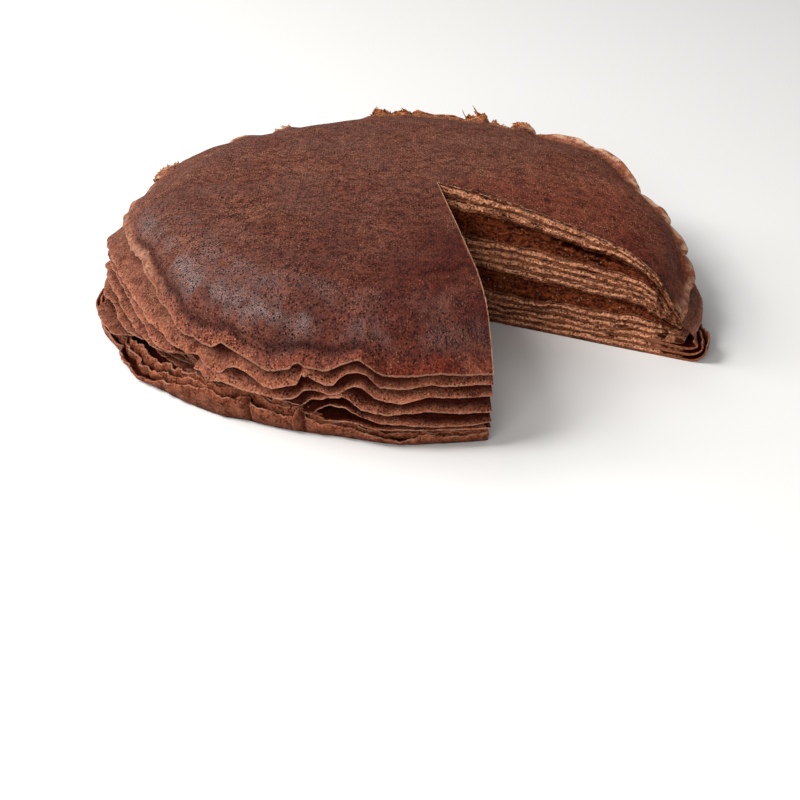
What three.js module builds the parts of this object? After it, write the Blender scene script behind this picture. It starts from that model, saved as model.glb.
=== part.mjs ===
// A chocolate crepe cake with one wedge cut out: thin crepes with cream between them and two thick
// chocolate fillings, lying on one another and drooping round the rim in ruffled edges.
// Millimetres, +Z up. The origin is the centre of the round underside, which lies on z = 0.
import * as THREE from 'three';

// ---- driving dimensions ----------------------------------------------------------------------
const BASE_RADIUS = 110.5; // the round of the underside
const CENTRE_HEIGHT = 51.3;
const CROWN_POWER = 1.6; // how the crown falls from the centre to its shoulder
const RUN_IN = 10; // length before the shoulder that the curve over it takes up
const APEX = { x: 10.8, y: -0.8 }; // where the two cuts meet, a little off the centre
const CUT_START = -23.8; // azimuth of the cut that faces the front, degrees from +X about the apex
const CUT_END = 279.3; // azimuth of the other cut, so the missing wedge is 57 degrees

// The outline of the top crepe at a few azimuths. Insets and reaches are measured outwards from the
// round of the underside, heights from the table. The cake leans: low on the right, tall in front.
// slope is how steeply the brim ends, low the reach of the lowest drooping crepe, rim the reach of
// the rim wall below it, and ruffle the height of the waves at the brim.
const OUTLINE = [
  { azimuth: -24, shoulder: [-28, 38.8], fold: [-15, 31.4], brim: [-4.4, 17],
    slope: -0.8, low: -3.5, rim: 5.5, ruffle: 0.4 },
  { azimuth: -10, shoulder: [-28, 39.5], fold: [-15.5, 32.5], brim: [-5, 18.5],
    slope: -0.8, low: -2.5, rim: 1.5, ruffle: 0.6 },
  { azimuth: 8, shoulder: [-29, 40.5], fold: [-16, 34.5], brim: [-5, 22],
    slope: -0.8, low: -2, rim: 0.5, ruffle: 0.8 },
  { azimuth: 26, shoulder: [-29, 42], fold: [-16, 36.5], brim: [-4.5, 26],
    slope: -0.7, low: -1, rim: 1.5, ruffle: 1 },
  { azimuth: 50, shoulder: [-29, 45], fold: [-15.5, 42], brim: [-3.2, 38],
    slope: -0.4, low: 0, rim: 3, ruffle: 1.2 },
  { azimuth: 97, shoulder: [-30, 46.8], fold: [-15, 43.5], brim: [-2, 40],
    slope: -0.3, low: 0, rim: 3, ruffle: 1.2 },
  { azimuth: 138, shoulder: [-29, 45.6], fold: [-14, 41], brim: [-1.5, 36.8],
    slope: -0.4, low: 0, rim: 3, ruffle: 1.2 },
  { azimuth: 166, shoulder: [-28, 45], fold: [-14.5, 39], brim: [-3.5, 31],
    slope: -0.7, low: 1.5, rim: 3, ruffle: 0.8 },
  { azimuth: 190, shoulder: [-27, 46.8], fold: [-14.5, 41.5], brim: [-6.5, 35.5],
    slope: -0.9, low: 2.5, rim: 3.5, ruffle: 0.6 },
  { azimuth: 213, shoulder: [-27, 48], fold: [-13, 41.5], brim: [-2, 25],
    slope: -1.3, low: 3.5, rim: 4.2, ruffle: 1 },
  { azimuth: 245, shoulder: [-29.5, 49.2], fold: [-12, 43.8], brim: [2, 27.6],
    slope: -1.3, low: 4, rim: 4.6, ruffle: 0.5 },
  { azimuth: 280, shoulder: [-31.5, 49.6], fold: [-12.5, 45.4], brim: [4.8, 27.4],
    slope: -1.4, low: 4, rim: 5, ruffle: 0.3 },
];

// Arches in the free edges at the front left: azimuth, lift and half width. They are highest in the
// top crepe and lie further round in the lower ones.
const ARCHES = [
  { azimuth: 232.5, lift: 7.5, width: 5.5 },
  { azimuth: 249.5, lift: 4.2, width: 4.5 },
  { azimuth: 257, lift: 4.5, width: 2.4 },
];
const ARCH_DRIFT = 5; // degrees from the arches of the top crepe to those of the lowest

// Packed part of the stack. The first set of heights holds where the top is TALL, the second where
// it has sunk to SUNK; they are bottom group, lower filling, middle group, upper filling, top group.
const TALL = { height: 50, groups: [12.7, 8, 12.1, 8.5, 8.7] };
const SUNK = { height: 35, groups: [14.3, 3.6, 10.4, 2.6, 4.1] };
const GROUP_CREPES = [6, 5, 3]; // crepes in the bottom, middle and top group
const CREPE_TALL = 1.2; // thickness of a packed crepe where the top is tall
const CREPE_SUNK = 0.95;
const CREPE_RIM = 0.9; // thickness of a crepe at its free edge
const SKIN = 0.03; // air between a crepe and the cream on it
const PACKED_INSET = 17; // the cream and fillings end this far inside the round of the underside

// Free edges. Crepes are counted from 1, the bottom one. The three lowest turn up in a rim wall,
// each a step further in. Above them every second crepe reaches the outline, and the ones between
// end tucked under it.
const CREPES = 14;
const RIM_CREPES = 3;
const RIM_WALL = { height: 6.6, width: 7, middle: 4, bend: 1.5, stepIn: 2.2, stepUp: 1.8 };
const LOW_EDGE_HEIGHT = 9.9; // upper face of the lowest drooping crepe at its edge
const LOW_RUFFLE = 0.3; // share of the ruffle that the lowest drooping crepe has
const TUCKED_END = 0.5; // share of the way to the outline where a tucked crepe ends
const RUFFLES = [
  { turns: 14.5, height: 0.6, phase: 0.9, drift: 0.11 },
  { turns: 9.3, height: 0.4, phase: 2.1, drift: 0.2 },
];
const STRAYS = [
  { turns: 7, reach: 0.9, phase: 2.4 },
  { turns: 13, reach: 0.5, phase: 1.7 },
];
const RIM_STRAY = 0.5; // share of the straying that the rim wall has

// Steps of the grid. Every ring goes round from one cut to the other, in steps that are DENSER times
// finer than the average at the ruffled front left, which is at this share of the way round.
const DENSER = 0.4;
const DENSEST = 0.81;
const COARSE = 15;
const MIDDLE = 30;
const FINE = 60;
const FINEST = 120;

const COLOURS = { crepe: '#5a3424', topCrepe: '#4a271d', cream: '#8a5c40', filling: '#34190f' };
const ROUGHNESS = { crepe: 0.6, topCrepe: 0.45, cream: 0.75, filling: 0.7 };

// ---- small helpers ---------------------------------------------------------------------------
const radians = THREE.MathUtils.degToRad;
const mix = THREE.MathUtils.lerp;
const ease = (t) => THREE.MathUtils.smoothstep(t, 0, 1);
const mixPair = (a, b, t) => [mix(a[0], b[0], t), mix(a[1], b[1], t)];

// The outline at any azimuth, eased from one stated azimuth to the next.
function outlineAt(azimuth) {
  let i = 0;
  while (i < OUTLINE.length - 2 && azimuth > OUTLINE[i + 1].azimuth) i += 1;
  const [a, b] = [OUTLINE[i], OUTLINE[i + 1]];
  const t = ease((azimuth - a.azimuth) / (b.azimuth - a.azimuth));
  return {
    shoulder: mixPair(a.shoulder, b.shoulder, t),
    fold: mixPair(a.fold, b.fold, t),
    brim: mixPair(a.brim, b.brim, t),
    slope: mix(a.slope, b.slope, t),
    low: mix(a.low, b.low, t),
    rim: mix(a.rim, b.rim, t),
    ruffle: mix(a.ruffle, b.ruffle, t),
  };
}

// Distance from the apex of the cuts to the round of the underside.
function roundAt(azimuth) {
  const along = APEX.x * Math.cos(radians(azimuth)) + APEX.y * Math.sin(radians(azimuth));
  return -along + Math.sqrt(along ** 2 + BASE_RADIUS ** 2 - APEX.x ** 2 - APEX.y ** 2);
}

const packedReach = (azimuth) => roundAt(azimuth) - PACKED_INSET;

// A curve through a few points, each a radius and a height, that never overshoots between them. It
// starts level, ends at the given slope and runs straight on from there.
function curveThrough(points, endSlope, radius) {
  const slopes = points.slice(1).map((p, i) => (p[1] - points[i][1]) / (p[0] - points[i][0]));
  const last = slopes.length - 1;
  const tangent = (i) => {
    if (i === 0) return 0;
    if (i > last) return endSlope;
    const [a, b] = [slopes[i - 1], slopes[i]];
    return a * b > 0 ? (2 * a * b) / (a + b) : 0;
  };
  let i = 0;
  while (i < last && radius > points[i + 1][0]) i += 1;
  const span = points[i + 1][0] - points[i][0];
  const t = (radius - points[i][0]) / span;
  if (t > 1) return points[i + 1][1] + (radius - points[i + 1][0]) * tangent(i + 1);
  const h00 = (1 + 2 * t) * (1 - t) ** 2;
  const h10 = t * (1 - t) ** 2;
  const h01 = t * t * (3 - 2 * t);
  const h11 = t * t * (t - 1);
  return h00 * points[i][1] + h10 * span * tangent(i) + h01 * points[i + 1][1] + h11 * span * tangent(i + 1);
}

// Height of the crown of the cake, before any ruffle.
function crownAt(azimuth, radius) {
  const { shoulder, fold, brim, slope } = outlineAt(azimuth);
  const round = roundAt(azimuth);
  const shoulderRadius = round + shoulder[0];
  if (radius <= shoulderRadius) {
    return CENTRE_HEIGHT - (CENTRE_HEIGHT - shoulder[1]) * (radius / shoulderRadius) ** CROWN_POWER;
  }
  const crownSlope = (-CROWN_POWER * (CENTRE_HEIGHT - shoulder[1])) / shoulderRadius;
  const points = [
    [shoulderRadius - RUN_IN, shoulder[1] - RUN_IN * crownSlope],
    [shoulderRadius, shoulder[1]],
    [round + fold[0], fold[1]],
    [round + brim[0], brim[1]],
  ];
  return curveThrough(points, slope, radius);
}

// ---- the packed stack ------------------------------------------------------------------------
// Heights of the underside and top of every layer, bottom to top, for one height of the crown.
function packedLayers(top) {
  const sunk = Math.min((TALL.height - top) / (TALL.height - SUNK.height), 1);
  const shrink = Math.min(top / SUNK.height, 1);
  const groups = TALL.groups.map((tall, i) => mix(tall, SUNK.groups[i], sunk) * shrink);
  const crepe = mix(CREPE_TALL, CREPE_SUNK, Math.max(sunk, 0)) * shrink;
  const crepes = [];
  const creams = [];
  const fillings = [];
  let z = 0;
  groups.forEach((height, g) => {
    if (g % 2 === 1) {
      fillings.push([z, z + height]);
      z += height;
      return;
    }
    const count = GROUP_CREPES[g / 2];
    const cream = (height - count * crepe) / (count - 1);
    for (let i = 0; i < count; i += 1) {
      crepes.push([z, z + crepe]);
      z += crepe;
      if (i < count - 1) {
        creams.push([z, z + cream]);
        z += cream;
      }
    }
  });
  return { crepes, creams, fillings };
}

// ---- the free edges --------------------------------------------------------------------------
const isTucked = (crepe) => crepe > RIM_CREPES && crepe < CREPES && (CREPES - crepe) % 2 === 1;
const share = (crepe) => (crepe - RIM_CREPES - 1) / (CREPES - RIM_CREPES - 1);

// Azimuth at a share of the way round, with the closer steps at the front left.
function azimuthAt(way) {
  const swing = Math.sin(2 * Math.PI * (way - DENSEST)) + Math.sin(2 * Math.PI * DENSEST);
  return mix(CUT_START, CUT_END, way - (DENSER * swing) / (2 * Math.PI));
}

// Ruffle of the free edges. It drifts a little from each crepe to the next.
function wave(way, crepe) {
  const turn = 2 * Math.PI * way;
  return RUFFLES.reduce((sum, r) => sum + r.height * Math.sin(r.turns * turn + r.phase + r.drift * crepe), 0);
}

// Lift of a free edge in the arches at the front left.
function arch(azimuth, crepe) {
  const turned = azimuth - ARCH_DRIFT * (1 - share(crepe));
  return ARCHES.reduce((sum, a) => sum + a.lift * Math.exp(-(((turned - a.azimuth) / a.width) ** 2)), 0);
}

// Small in-and-out of an edge, different for each crepe.
function stray(azimuth, crepe) {
  const angle = radians(azimuth);
  return STRAYS.reduce((sum, s) => sum + s.reach * Math.sin(s.turns * angle + s.phase * crepe), 0);
}

// How far from the apex a crepe's outline lies. A tucked crepe stops on the way to it.
function outlineReach(azimuth, crepe) {
  const { brim, low, rim, ruffle } = outlineAt(azimuth);
  const astray = ruffle * stray(azimuth, crepe);
  if (crepe <= RIM_CREPES) return roundAt(azimuth) + rim - RIM_WALL.stepIn * (crepe - 1) + RIM_STRAY * astray;
  return roundAt(azimuth) + mix(low, brim[0], share(crepe) ** 2) + astray;
}

function edgeReach(azimuth, crepe) {
  const packed = packedReach(azimuth);
  return mix(packed, outlineReach(azimuth, crepe), isTucked(crepe) ? TUCKED_END : 1);
}

// Upper faces of the rim wall: the bottom crepe's, and those of the two nested in it.
function rimTop(azimuth, radius, crepe, packedTop) {
  const foot = roundAt(azimuth) + outlineAt(azimuth).rim - RIM_WALL.width;
  const outside = Math.max((radius - foot) / RIM_WALL.width, 0);
  const t = (radius - packedReach(azimuth)) / (foot - packedReach(azimuth));
  const lying = mix(packedTop, CREPE_TALL + RIM_WALL.stepUp * (crepe - 1), ease(t));
  return lying + RIM_WALL.height * outside ** RIM_WALL.bend;
}

// Upper faces of the drooping crepes. They share out the space between the lowest of them and the
// crown, first as they lie in the packed stack and then evenly towards their edges.
function droopTop(way, radius, crepe, packedTops) {
  const azimuth = azimuthAt(way);
  const { brim, ruffle } = outlineAt(azimuth);
  const packed = packedReach(azimuth);
  const t = (radius - packed) / (roundAt(azimuth) + brim[0] - packed);
  const lowest = packedTops[RIM_CREPES];
  const inStack = (packedTops[crepe - 1] - lowest) / (packedTops[CREPES - 1] - lowest);
  const part = mix(inStack, share(crepe), ease(t));
  const height = mix(mix(lowest, LOW_EDGE_HEIGHT, ease(t)), crownAt(azimuth, radius), part);
  const lift = ruffle * wave(way, crepe) + arch(azimuth, crepe);
  return height + mix(LOW_RUFFLE, 1, share(crepe)) * lift * t ** 2;
}

// Heights of a crepe's upper face and underside at any place.
function crepeFaces(way, radius, crepe) {
  const azimuth = azimuthAt(way);
  const packed = packedReach(azimuth);
  const stack = packedLayers(crownAt(azimuth, Math.min(radius, packed))).crepes;
  const [low, high] = stack[crepe - 1];
  if (radius <= packed) return { top: high, bottom: low };
  const t = (radius - packed) / PACKED_INSET;
  const thickness = mix(high - low, CREPE_RIM, ease(t));
  if (crepe <= RIM_CREPES) {
    const top = rimTop(azimuth, radius, crepe, high);
    return { top, bottom: top - (crepe === 1 ? CREPE_TALL : thickness) };
  }
  const top = droopTop(way, radius, crepe, stack.map(([, upper]) => upper));
  return { top, bottom: top - thickness };
}

// ---- solids over a ring grid -----------------------------------------------------------------
// rings: { reach(azimuth), steps }, from the first outside the apex to the outer edge, each with the
// same steps as the one inside it or twice as many. faces(way, radius) gives top and bottom.
function layerGeometry(rings, faces) {
  const positions = [];
  const indices = [];
  const middle = faces(0, 0);
  const addSurface = (side) => {
    const first = positions.length / 3;
    positions.push(APEX.x, APEX.y, middle[side]);
    const starts = rings.map(({ reach, steps }) => {
      const start = positions.length / 3;
      for (let i = 0; i <= steps; i += 1) {
        const azimuth = azimuthAt(i / steps);
        const radius = reach(azimuth);
        const x = APEX.x + radius * Math.cos(radians(azimuth));
        const y = APEX.y + radius * Math.sin(radians(azimuth));
        positions.push(x, y, faces(i / steps, radius)[side]);
      }
      return start;
    });
    return { first, starts };
  };
  const triangle = (a, b, c, flip) => indices.push(a, flip ? c : b, flip ? b : c);
  const coverSurface = ({ first, starts }, flip) => {
    for (let i = 0; i < rings[0].steps; i += 1) triangle(first, starts[0] + i, starts[0] + i + 1, flip);
    for (let r = 1; r < rings.length; r += 1) {
      const twice = rings[r].steps / rings[r - 1].steps;
      for (let i = 0; i < rings[r - 1].steps; i += 1) {
        const inner = starts[r - 1] + i;
        const outer = starts[r] + i * twice;
        for (let j = 0; j < twice; j += 1) triangle(inner, outer + j, outer + j + 1, flip);
        triangle(inner, outer + twice, inner + 1, flip);
      }
    }
  };
  const top = addSurface('top');
  const bottom = addSurface('bottom');
  coverSurface(top, false);
  coverSurface(bottom, true);
  const wall = (topPath, bottomPath) => {
    for (let i = 0; i + 1 < topPath.length; i += 1) {
      indices.push(topPath[i], bottomPath[i], bottomPath[i + 1]);
      indices.push(topPath[i], bottomPath[i + 1], topPath[i + 1]);
    }
  };
  const last = rings.length - 1;
  const rim = (s) => Array.from({ length: rings[last].steps + 1 }, (_, i) => s.starts[last] + i);
  const startCut = (s) => [s.first, ...s.starts];
  const endCut = (s) => [s.first, ...s.starts.map((start, r) => start + rings[r].steps)].reverse();
  wall(rim(top), rim(bottom));
  wall(startCut(top), startCut(bottom));
  wall(endCut(top), endCut(bottom));
  const geometry = new THREE.BufferGeometry();
  geometry.setAttribute('position', new THREE.Float32BufferAttribute(positions, 3));
  geometry.setIndex(indices);
  geometry.computeVertexNormals();
  return geometry;
}

// A ring in the packed part, at a share of its reach.
const packedRing = (part, steps) => ({ reach: (azimuth) => part * packedReach(azimuth), steps });
const PACKED_RINGS = [packedRing(0.5, COARSE), packedRing(1, MIDDLE)];
const TOP_PACKED_RINGS = [
  packedRing(0.25, COARSE),
  packedRing(0.5, COARSE),
  packedRing(0.78, MIDDLE),
  packedRing(1, MIDDLE),
];

// A ring past the packed part, at a share of the way to the brim of the top crepe.
const brimRing = (part, steps) => ({
  reach: (azimuth) => mix(packedReach(azimuth), roundAt(azimuth) + outlineAt(azimuth).brim[0], part),
  steps,
});

// A ring in the rim wall, this far inside its outer edge.
const rimRing = (inside) => ({
  reach: (azimuth) => roundAt(azimuth) + outlineAt(azimuth).rim - inside,
  steps: FINE,
});
const RIM_FOOT = rimRing(RIM_WALL.width);
const RIM_MIDDLE = rimRing(RIM_WALL.width - RIM_WALL.middle);

function crepeRings(crepe) {
  const steps = crepe === CREPES ? FINEST : FINE;
  const edge = { reach: (azimuth) => edgeReach(azimuth, crepe), steps };
  if (crepe === 1) return [...PACKED_RINGS, RIM_FOOT, RIM_MIDDLE, edge];
  if (crepe <= RIM_CREPES) return [...PACKED_RINGS, RIM_FOOT, edge];
  if (isTucked(crepe)) return [...PACKED_RINGS, edge];
  if (crepe < CREPES) return [...PACKED_RINGS, brimRing(0.45, FINE), brimRing(0.75, FINE), edge];
  return [...TOP_PACKED_RINGS, brimRing(0.4, FINE), brimRing(0.75, FINEST), edge];
}

// ---- the cake --------------------------------------------------------------------------------
const cake = new THREE.Group();

function addLayer(name, kind, rings, faces) {
  const settings = { color: COLOURS[kind], roughness: ROUGHNESS[kind], metalness: 0 };
  const mesh = new THREE.Mesh(layerGeometry(rings, faces), new THREE.MeshStandardMaterial(settings));
  mesh.name = name;
  cake.add(mesh);
}

const numbered = (name, i) => `${name}_${String(i).padStart(2, '0')}`;

for (let crepe = 1; crepe <= CREPES; crepe += 1) {
  const kind = crepe === CREPES ? 'topCrepe' : 'crepe';
  const faces = (way, radius) => crepeFaces(way, radius, crepe);
  addLayer(numbered('crepe', crepe), kind, crepeRings(crepe), faces);
}

// A soft layer fills the space between two packed crepes.
function softFaces(list, i) {
  return (way, radius) => {
    const [low, high] = packedLayers(crownAt(azimuthAt(way), radius))[list][i];
    return { top: high - SKIN, bottom: low + SKIN };
  };
}

const CREAMS = GROUP_CREPES.reduce((sum, count) => sum + count - 1, 0);
for (let i = 0; i < CREAMS; i += 1) {
  addLayer(numbered('cream', i + 1), 'cream', PACKED_RINGS, softFaces('creams', i));
}
addLayer('lower_filling', 'filling', PACKED_RINGS, softFaces('fillings', 0));
addLayer('upper_filling', 'filling', PACKED_RINGS, softFaces('fillings', 1));

export default cake;
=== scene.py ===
import math

import bpy
import numpy as np
from mathutils import Matrix, Vector


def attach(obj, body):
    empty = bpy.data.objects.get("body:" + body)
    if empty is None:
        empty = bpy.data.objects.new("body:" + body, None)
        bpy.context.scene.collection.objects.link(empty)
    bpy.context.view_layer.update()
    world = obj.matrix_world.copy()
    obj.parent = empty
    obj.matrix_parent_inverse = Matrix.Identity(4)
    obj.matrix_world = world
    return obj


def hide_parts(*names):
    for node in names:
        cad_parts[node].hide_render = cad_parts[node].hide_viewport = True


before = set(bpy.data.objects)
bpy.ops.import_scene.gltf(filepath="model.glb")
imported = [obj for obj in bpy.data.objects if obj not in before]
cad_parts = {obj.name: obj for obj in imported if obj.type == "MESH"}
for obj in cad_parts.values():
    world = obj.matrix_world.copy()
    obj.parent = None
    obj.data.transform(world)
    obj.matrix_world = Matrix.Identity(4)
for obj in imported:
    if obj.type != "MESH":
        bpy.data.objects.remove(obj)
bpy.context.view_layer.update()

MM = 0.001
rng = np.random.default_rng(14)

# ---- the cake's measures, in millimetres and degrees, as in the solids ----
BASE_RADIUS = 110.5
CENTRE_HEIGHT = 51.3
CROWN_POWER = 1.6  # how the crown falls from the centre to its shoulder
APEX = (10.8, -0.8)  # the point of the missing wedge
CUT_START, CUT_END = -23.8, 279.3
PACKED_INSET = 17.0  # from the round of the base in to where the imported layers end

# azimuth, shoulder (outwards, height), fold (outwards, height), brim (outwards, height), end slope,
# reach of the lowest drooping crepe, reach of the rim wall, height of the ruffles
OUTLINE = np.array([
    (-24, -28, 38.8, -15, 31.4, -4.4, 17, -0.8, -3.5, 5.5, 0.5),
    (-10, -28, 39.5, -15.5, 32.5, -5, 18.5, -0.8, -2.5, 1.5, 0.8),
    (8, -29, 40.5, -16, 34.5, -5, 22, -0.8, -2, 0.5, 1.3),
    (26, -29, 42, -16, 36.5, -4.5, 26, -0.7, -1, 1.5, 1.5),
    (50, -29, 45, -15.5, 42, -3.2, 38, -0.4, 0, 3, 1.6),
    (97, -30, 46.8, -15, 43.5, -2, 40, -0.3, 0, 3, 1.8),
    (138, -29, 45.6, -14, 41, -1.5, 36.8, -0.4, 0, 3, 1.8),
    (166, -28, 45, -14.5, 39, -3.5, 31, -0.7, 1.5, 3, 1.5),
    (190, -27, 46.8, -14.5, 41.5, -6.5, 35.5, -0.9, 2.5, 3.5, 1.1),
    (213, -27, 48, -13, 41.5, -2, 25, -1.3, 3.5, 4.2, 1.0),
    (245, -29.5, 49.2, -12, 43.8, 2, 27.6, -1.3, 4, 4.6, 1.0),
    (280, -31.5, 49.6, -12.5, 45.4, 4.8, 27.4, -1.4, 4, 5, 0.4),
])
SHOULDER, FOLD, BRIM, SLOPE, LOW, RIM, RUFFLE = 1, 3, 5, 7, 8, 9, 10

# Heights of the groups of layers, from the bottom up, where the crown is tall and where it is sunk.
TALL, TALL_GROUPS = 50.0, np.array([12.7, 8, 12.1, 8.5, 8.7])
SUNK, SUNK_GROUPS = 35.0, np.array([14.3, 3.6, 10.4, 2.6, 4.1])
GROUP_CREPES = (6, 5, 3)
CREPE_TALL, CREPE_SUNK = 1.2, 0.95  # how thick a packed crepe is there
CREPES, RIM_CREPES = 14, 3
LOW_EDGE_HEIGHT = 9.9
TUCKED_END = 0.5  # share of the way to the outline where a tucked crepe ends
EDGE_THICK = 0.42  # a crepe at its free edge

# ---- smooth random fields and shapes of curves ----
LATTICE = rng.random((64, 256, 256))


def noise(x, y=0.0, seed=0):
    """Smooth values from -1 to 1 that change over about one unit of x and y."""
    x, y = np.broadcast_arrays(np.asarray(x, float), np.asarray(y, float))
    i, j = np.floor(x).astype(int), np.floor(y).astype(int)
    u, v = x - i, y - j
    u, v = u * u * (3 - 2 * u), v * v * (3 - 2 * v)
    table = LATTICE[seed % 64]
    a, b = table[i % 256, j % 256], table[(i + 1) % 256, j % 256]
    c, d = table[i % 256, (j + 1) % 256], table[(i + 1) % 256, (j + 1) % 256]
    return 2 * ((a * (1 - u) + b * u) * (1 - v) + (c * (1 - u) + d * u) * v) - 1


def rough(x, y=0.0, seed=0, octaves=3):
    total, weight = 0.0, 0.0
    for n in range(octaves):
        total = total + noise(x * 2**n + 7.3 * n, y * 2**n + 3.1 * n, seed + n) / 2**n
        weight += 1 / 2**n
    return total / weight


def ease(t):
    t = np.clip(t, 0, 1)
    return t * t * (3 - 2 * t)


def mix(a, b, t):
    return a + (b - a) * t


def bump(x, centre, width):
    return np.exp(-(((x - centre) / width) ** 2))


def window(x, first, rise, last, fall):
    """1 from first to last, eased in over rise and out over fall, and 0 outside."""
    return ease((x - first) / rise) * ease((last - x) / fall)


def table(rows, x):
    """Value at x of a line through rows of (place, value)."""
    return np.interp(x, [row[0] for row in rows], [row[1] for row in rows])


# ---- the form shared with the solids ----
def outline(az):
    i = np.clip(np.searchsorted(OUTLINE[:, 0], az, "right") - 1, 0, len(OUTLINE) - 2)
    t = ease((az - OUTLINE[i, 0]) / (OUTLINE[i + 1, 0] - OUTLINE[i, 0]))
    return [mix(OUTLINE[i, c], OUTLINE[i + 1, c], t) for c in range(OUTLINE.shape[1])]


def round_at(az):
    a = np.radians(az)
    along = APEX[0] * np.cos(a) + APEX[1] * np.sin(a)
    return -along + np.sqrt(along**2 + BASE_RADIUS**2 - APEX[0] ** 2 - APEX[1] ** 2)


def packed_reach(az):
    return round_at(az) - PACKED_INSET


def harmonic(a, b):
    """Slope of a smooth curve where pieces with slopes a and b meet."""
    return np.where(a * b > 0, 2 * a * b / (a + b), 0)


def crown(az, r):
    """Height of the top of the cake, before any ruffle."""
    o = outline(az)
    ring = round_at(az)
    xs = [ring + o[SHOULDER], ring + o[FOLD], ring + o[BRIM]]
    hs = [o[SHOULDER + 1], o[FOLD + 1], o[BRIM + 1]]
    fall = CENTRE_HEIGHT - hs[0]
    slopes = [-CROWN_POWER * fall / xs[0]] + [(hs[n + 1] - hs[n]) / (xs[n + 1] - xs[n]) for n in (0, 1)]
    tangents = [harmonic(slopes[0], slopes[1]), harmonic(slopes[1], slopes[2]), o[SLOPE]]
    out = CENTRE_HEIGHT - fall * (np.clip(r, 0, xs[0]) / xs[0]) ** CROWN_POWER
    for n in (0, 1):
        span = xs[n + 1] - xs[n]
        t = (r - xs[n]) / span
        h = ((1 + 2 * t) * (1 - t) ** 2 * hs[n] + t * (1 - t) ** 2 * span * tangents[n]
             + t * t * (3 - 2 * t) * hs[n + 1] + t * t * (t - 1) * span * tangents[n + 1])
        out = np.where(r > xs[n], h, out)
    return np.where(r > xs[2], hs[2] + (r - xs[2]) * tangents[2], out)


def packed_layers(top):
    """Undersides and tops of the crepes, creams and fillings for a height of the crown."""
    top = np.asarray(top, float)
    sunk = np.minimum((TALL - top) / (TALL - SUNK), 1)
    shrink = np.minimum(top / SUNK, 1)
    thick = mix(CREPE_TALL, CREPE_SUNK, np.maximum(sunk, 0)) * shrink
    crepes, creams, fillings = [], [], []
    z = np.zeros_like(top)
    for g in range(5):
        height = mix(TALL_GROUPS[g], SUNK_GROUPS[g], sunk) * shrink
        if g % 2:
            fillings.append((z, z + height))
            z = z + height
            continue
        count = GROUP_CREPES[g // 2]
        soft = (height - count * thick) / (count - 1)
        for i in range(count):
            crepes.append((z, z + thick))
            z = z + thick
            if i < count - 1:
                creams.append((z, z + soft))
                z = z + soft
    return crepes, creams, fillings


def packed_crepes(az, r):
    """Undersides and tops of the crepes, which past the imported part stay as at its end."""
    return packed_layers(crown(az, np.minimum(r, packed_reach(az))))[0]


def is_tucked(k):
    return RIM_CREPES < k < CREPES and (CREPES - k) % 2 == 1


def share(k):
    """0 for the lowest drooping crepe and 1 for the top one."""
    return (k - RIM_CREPES - 1) / (CREPES - RIM_CREPES - 1)


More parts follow.
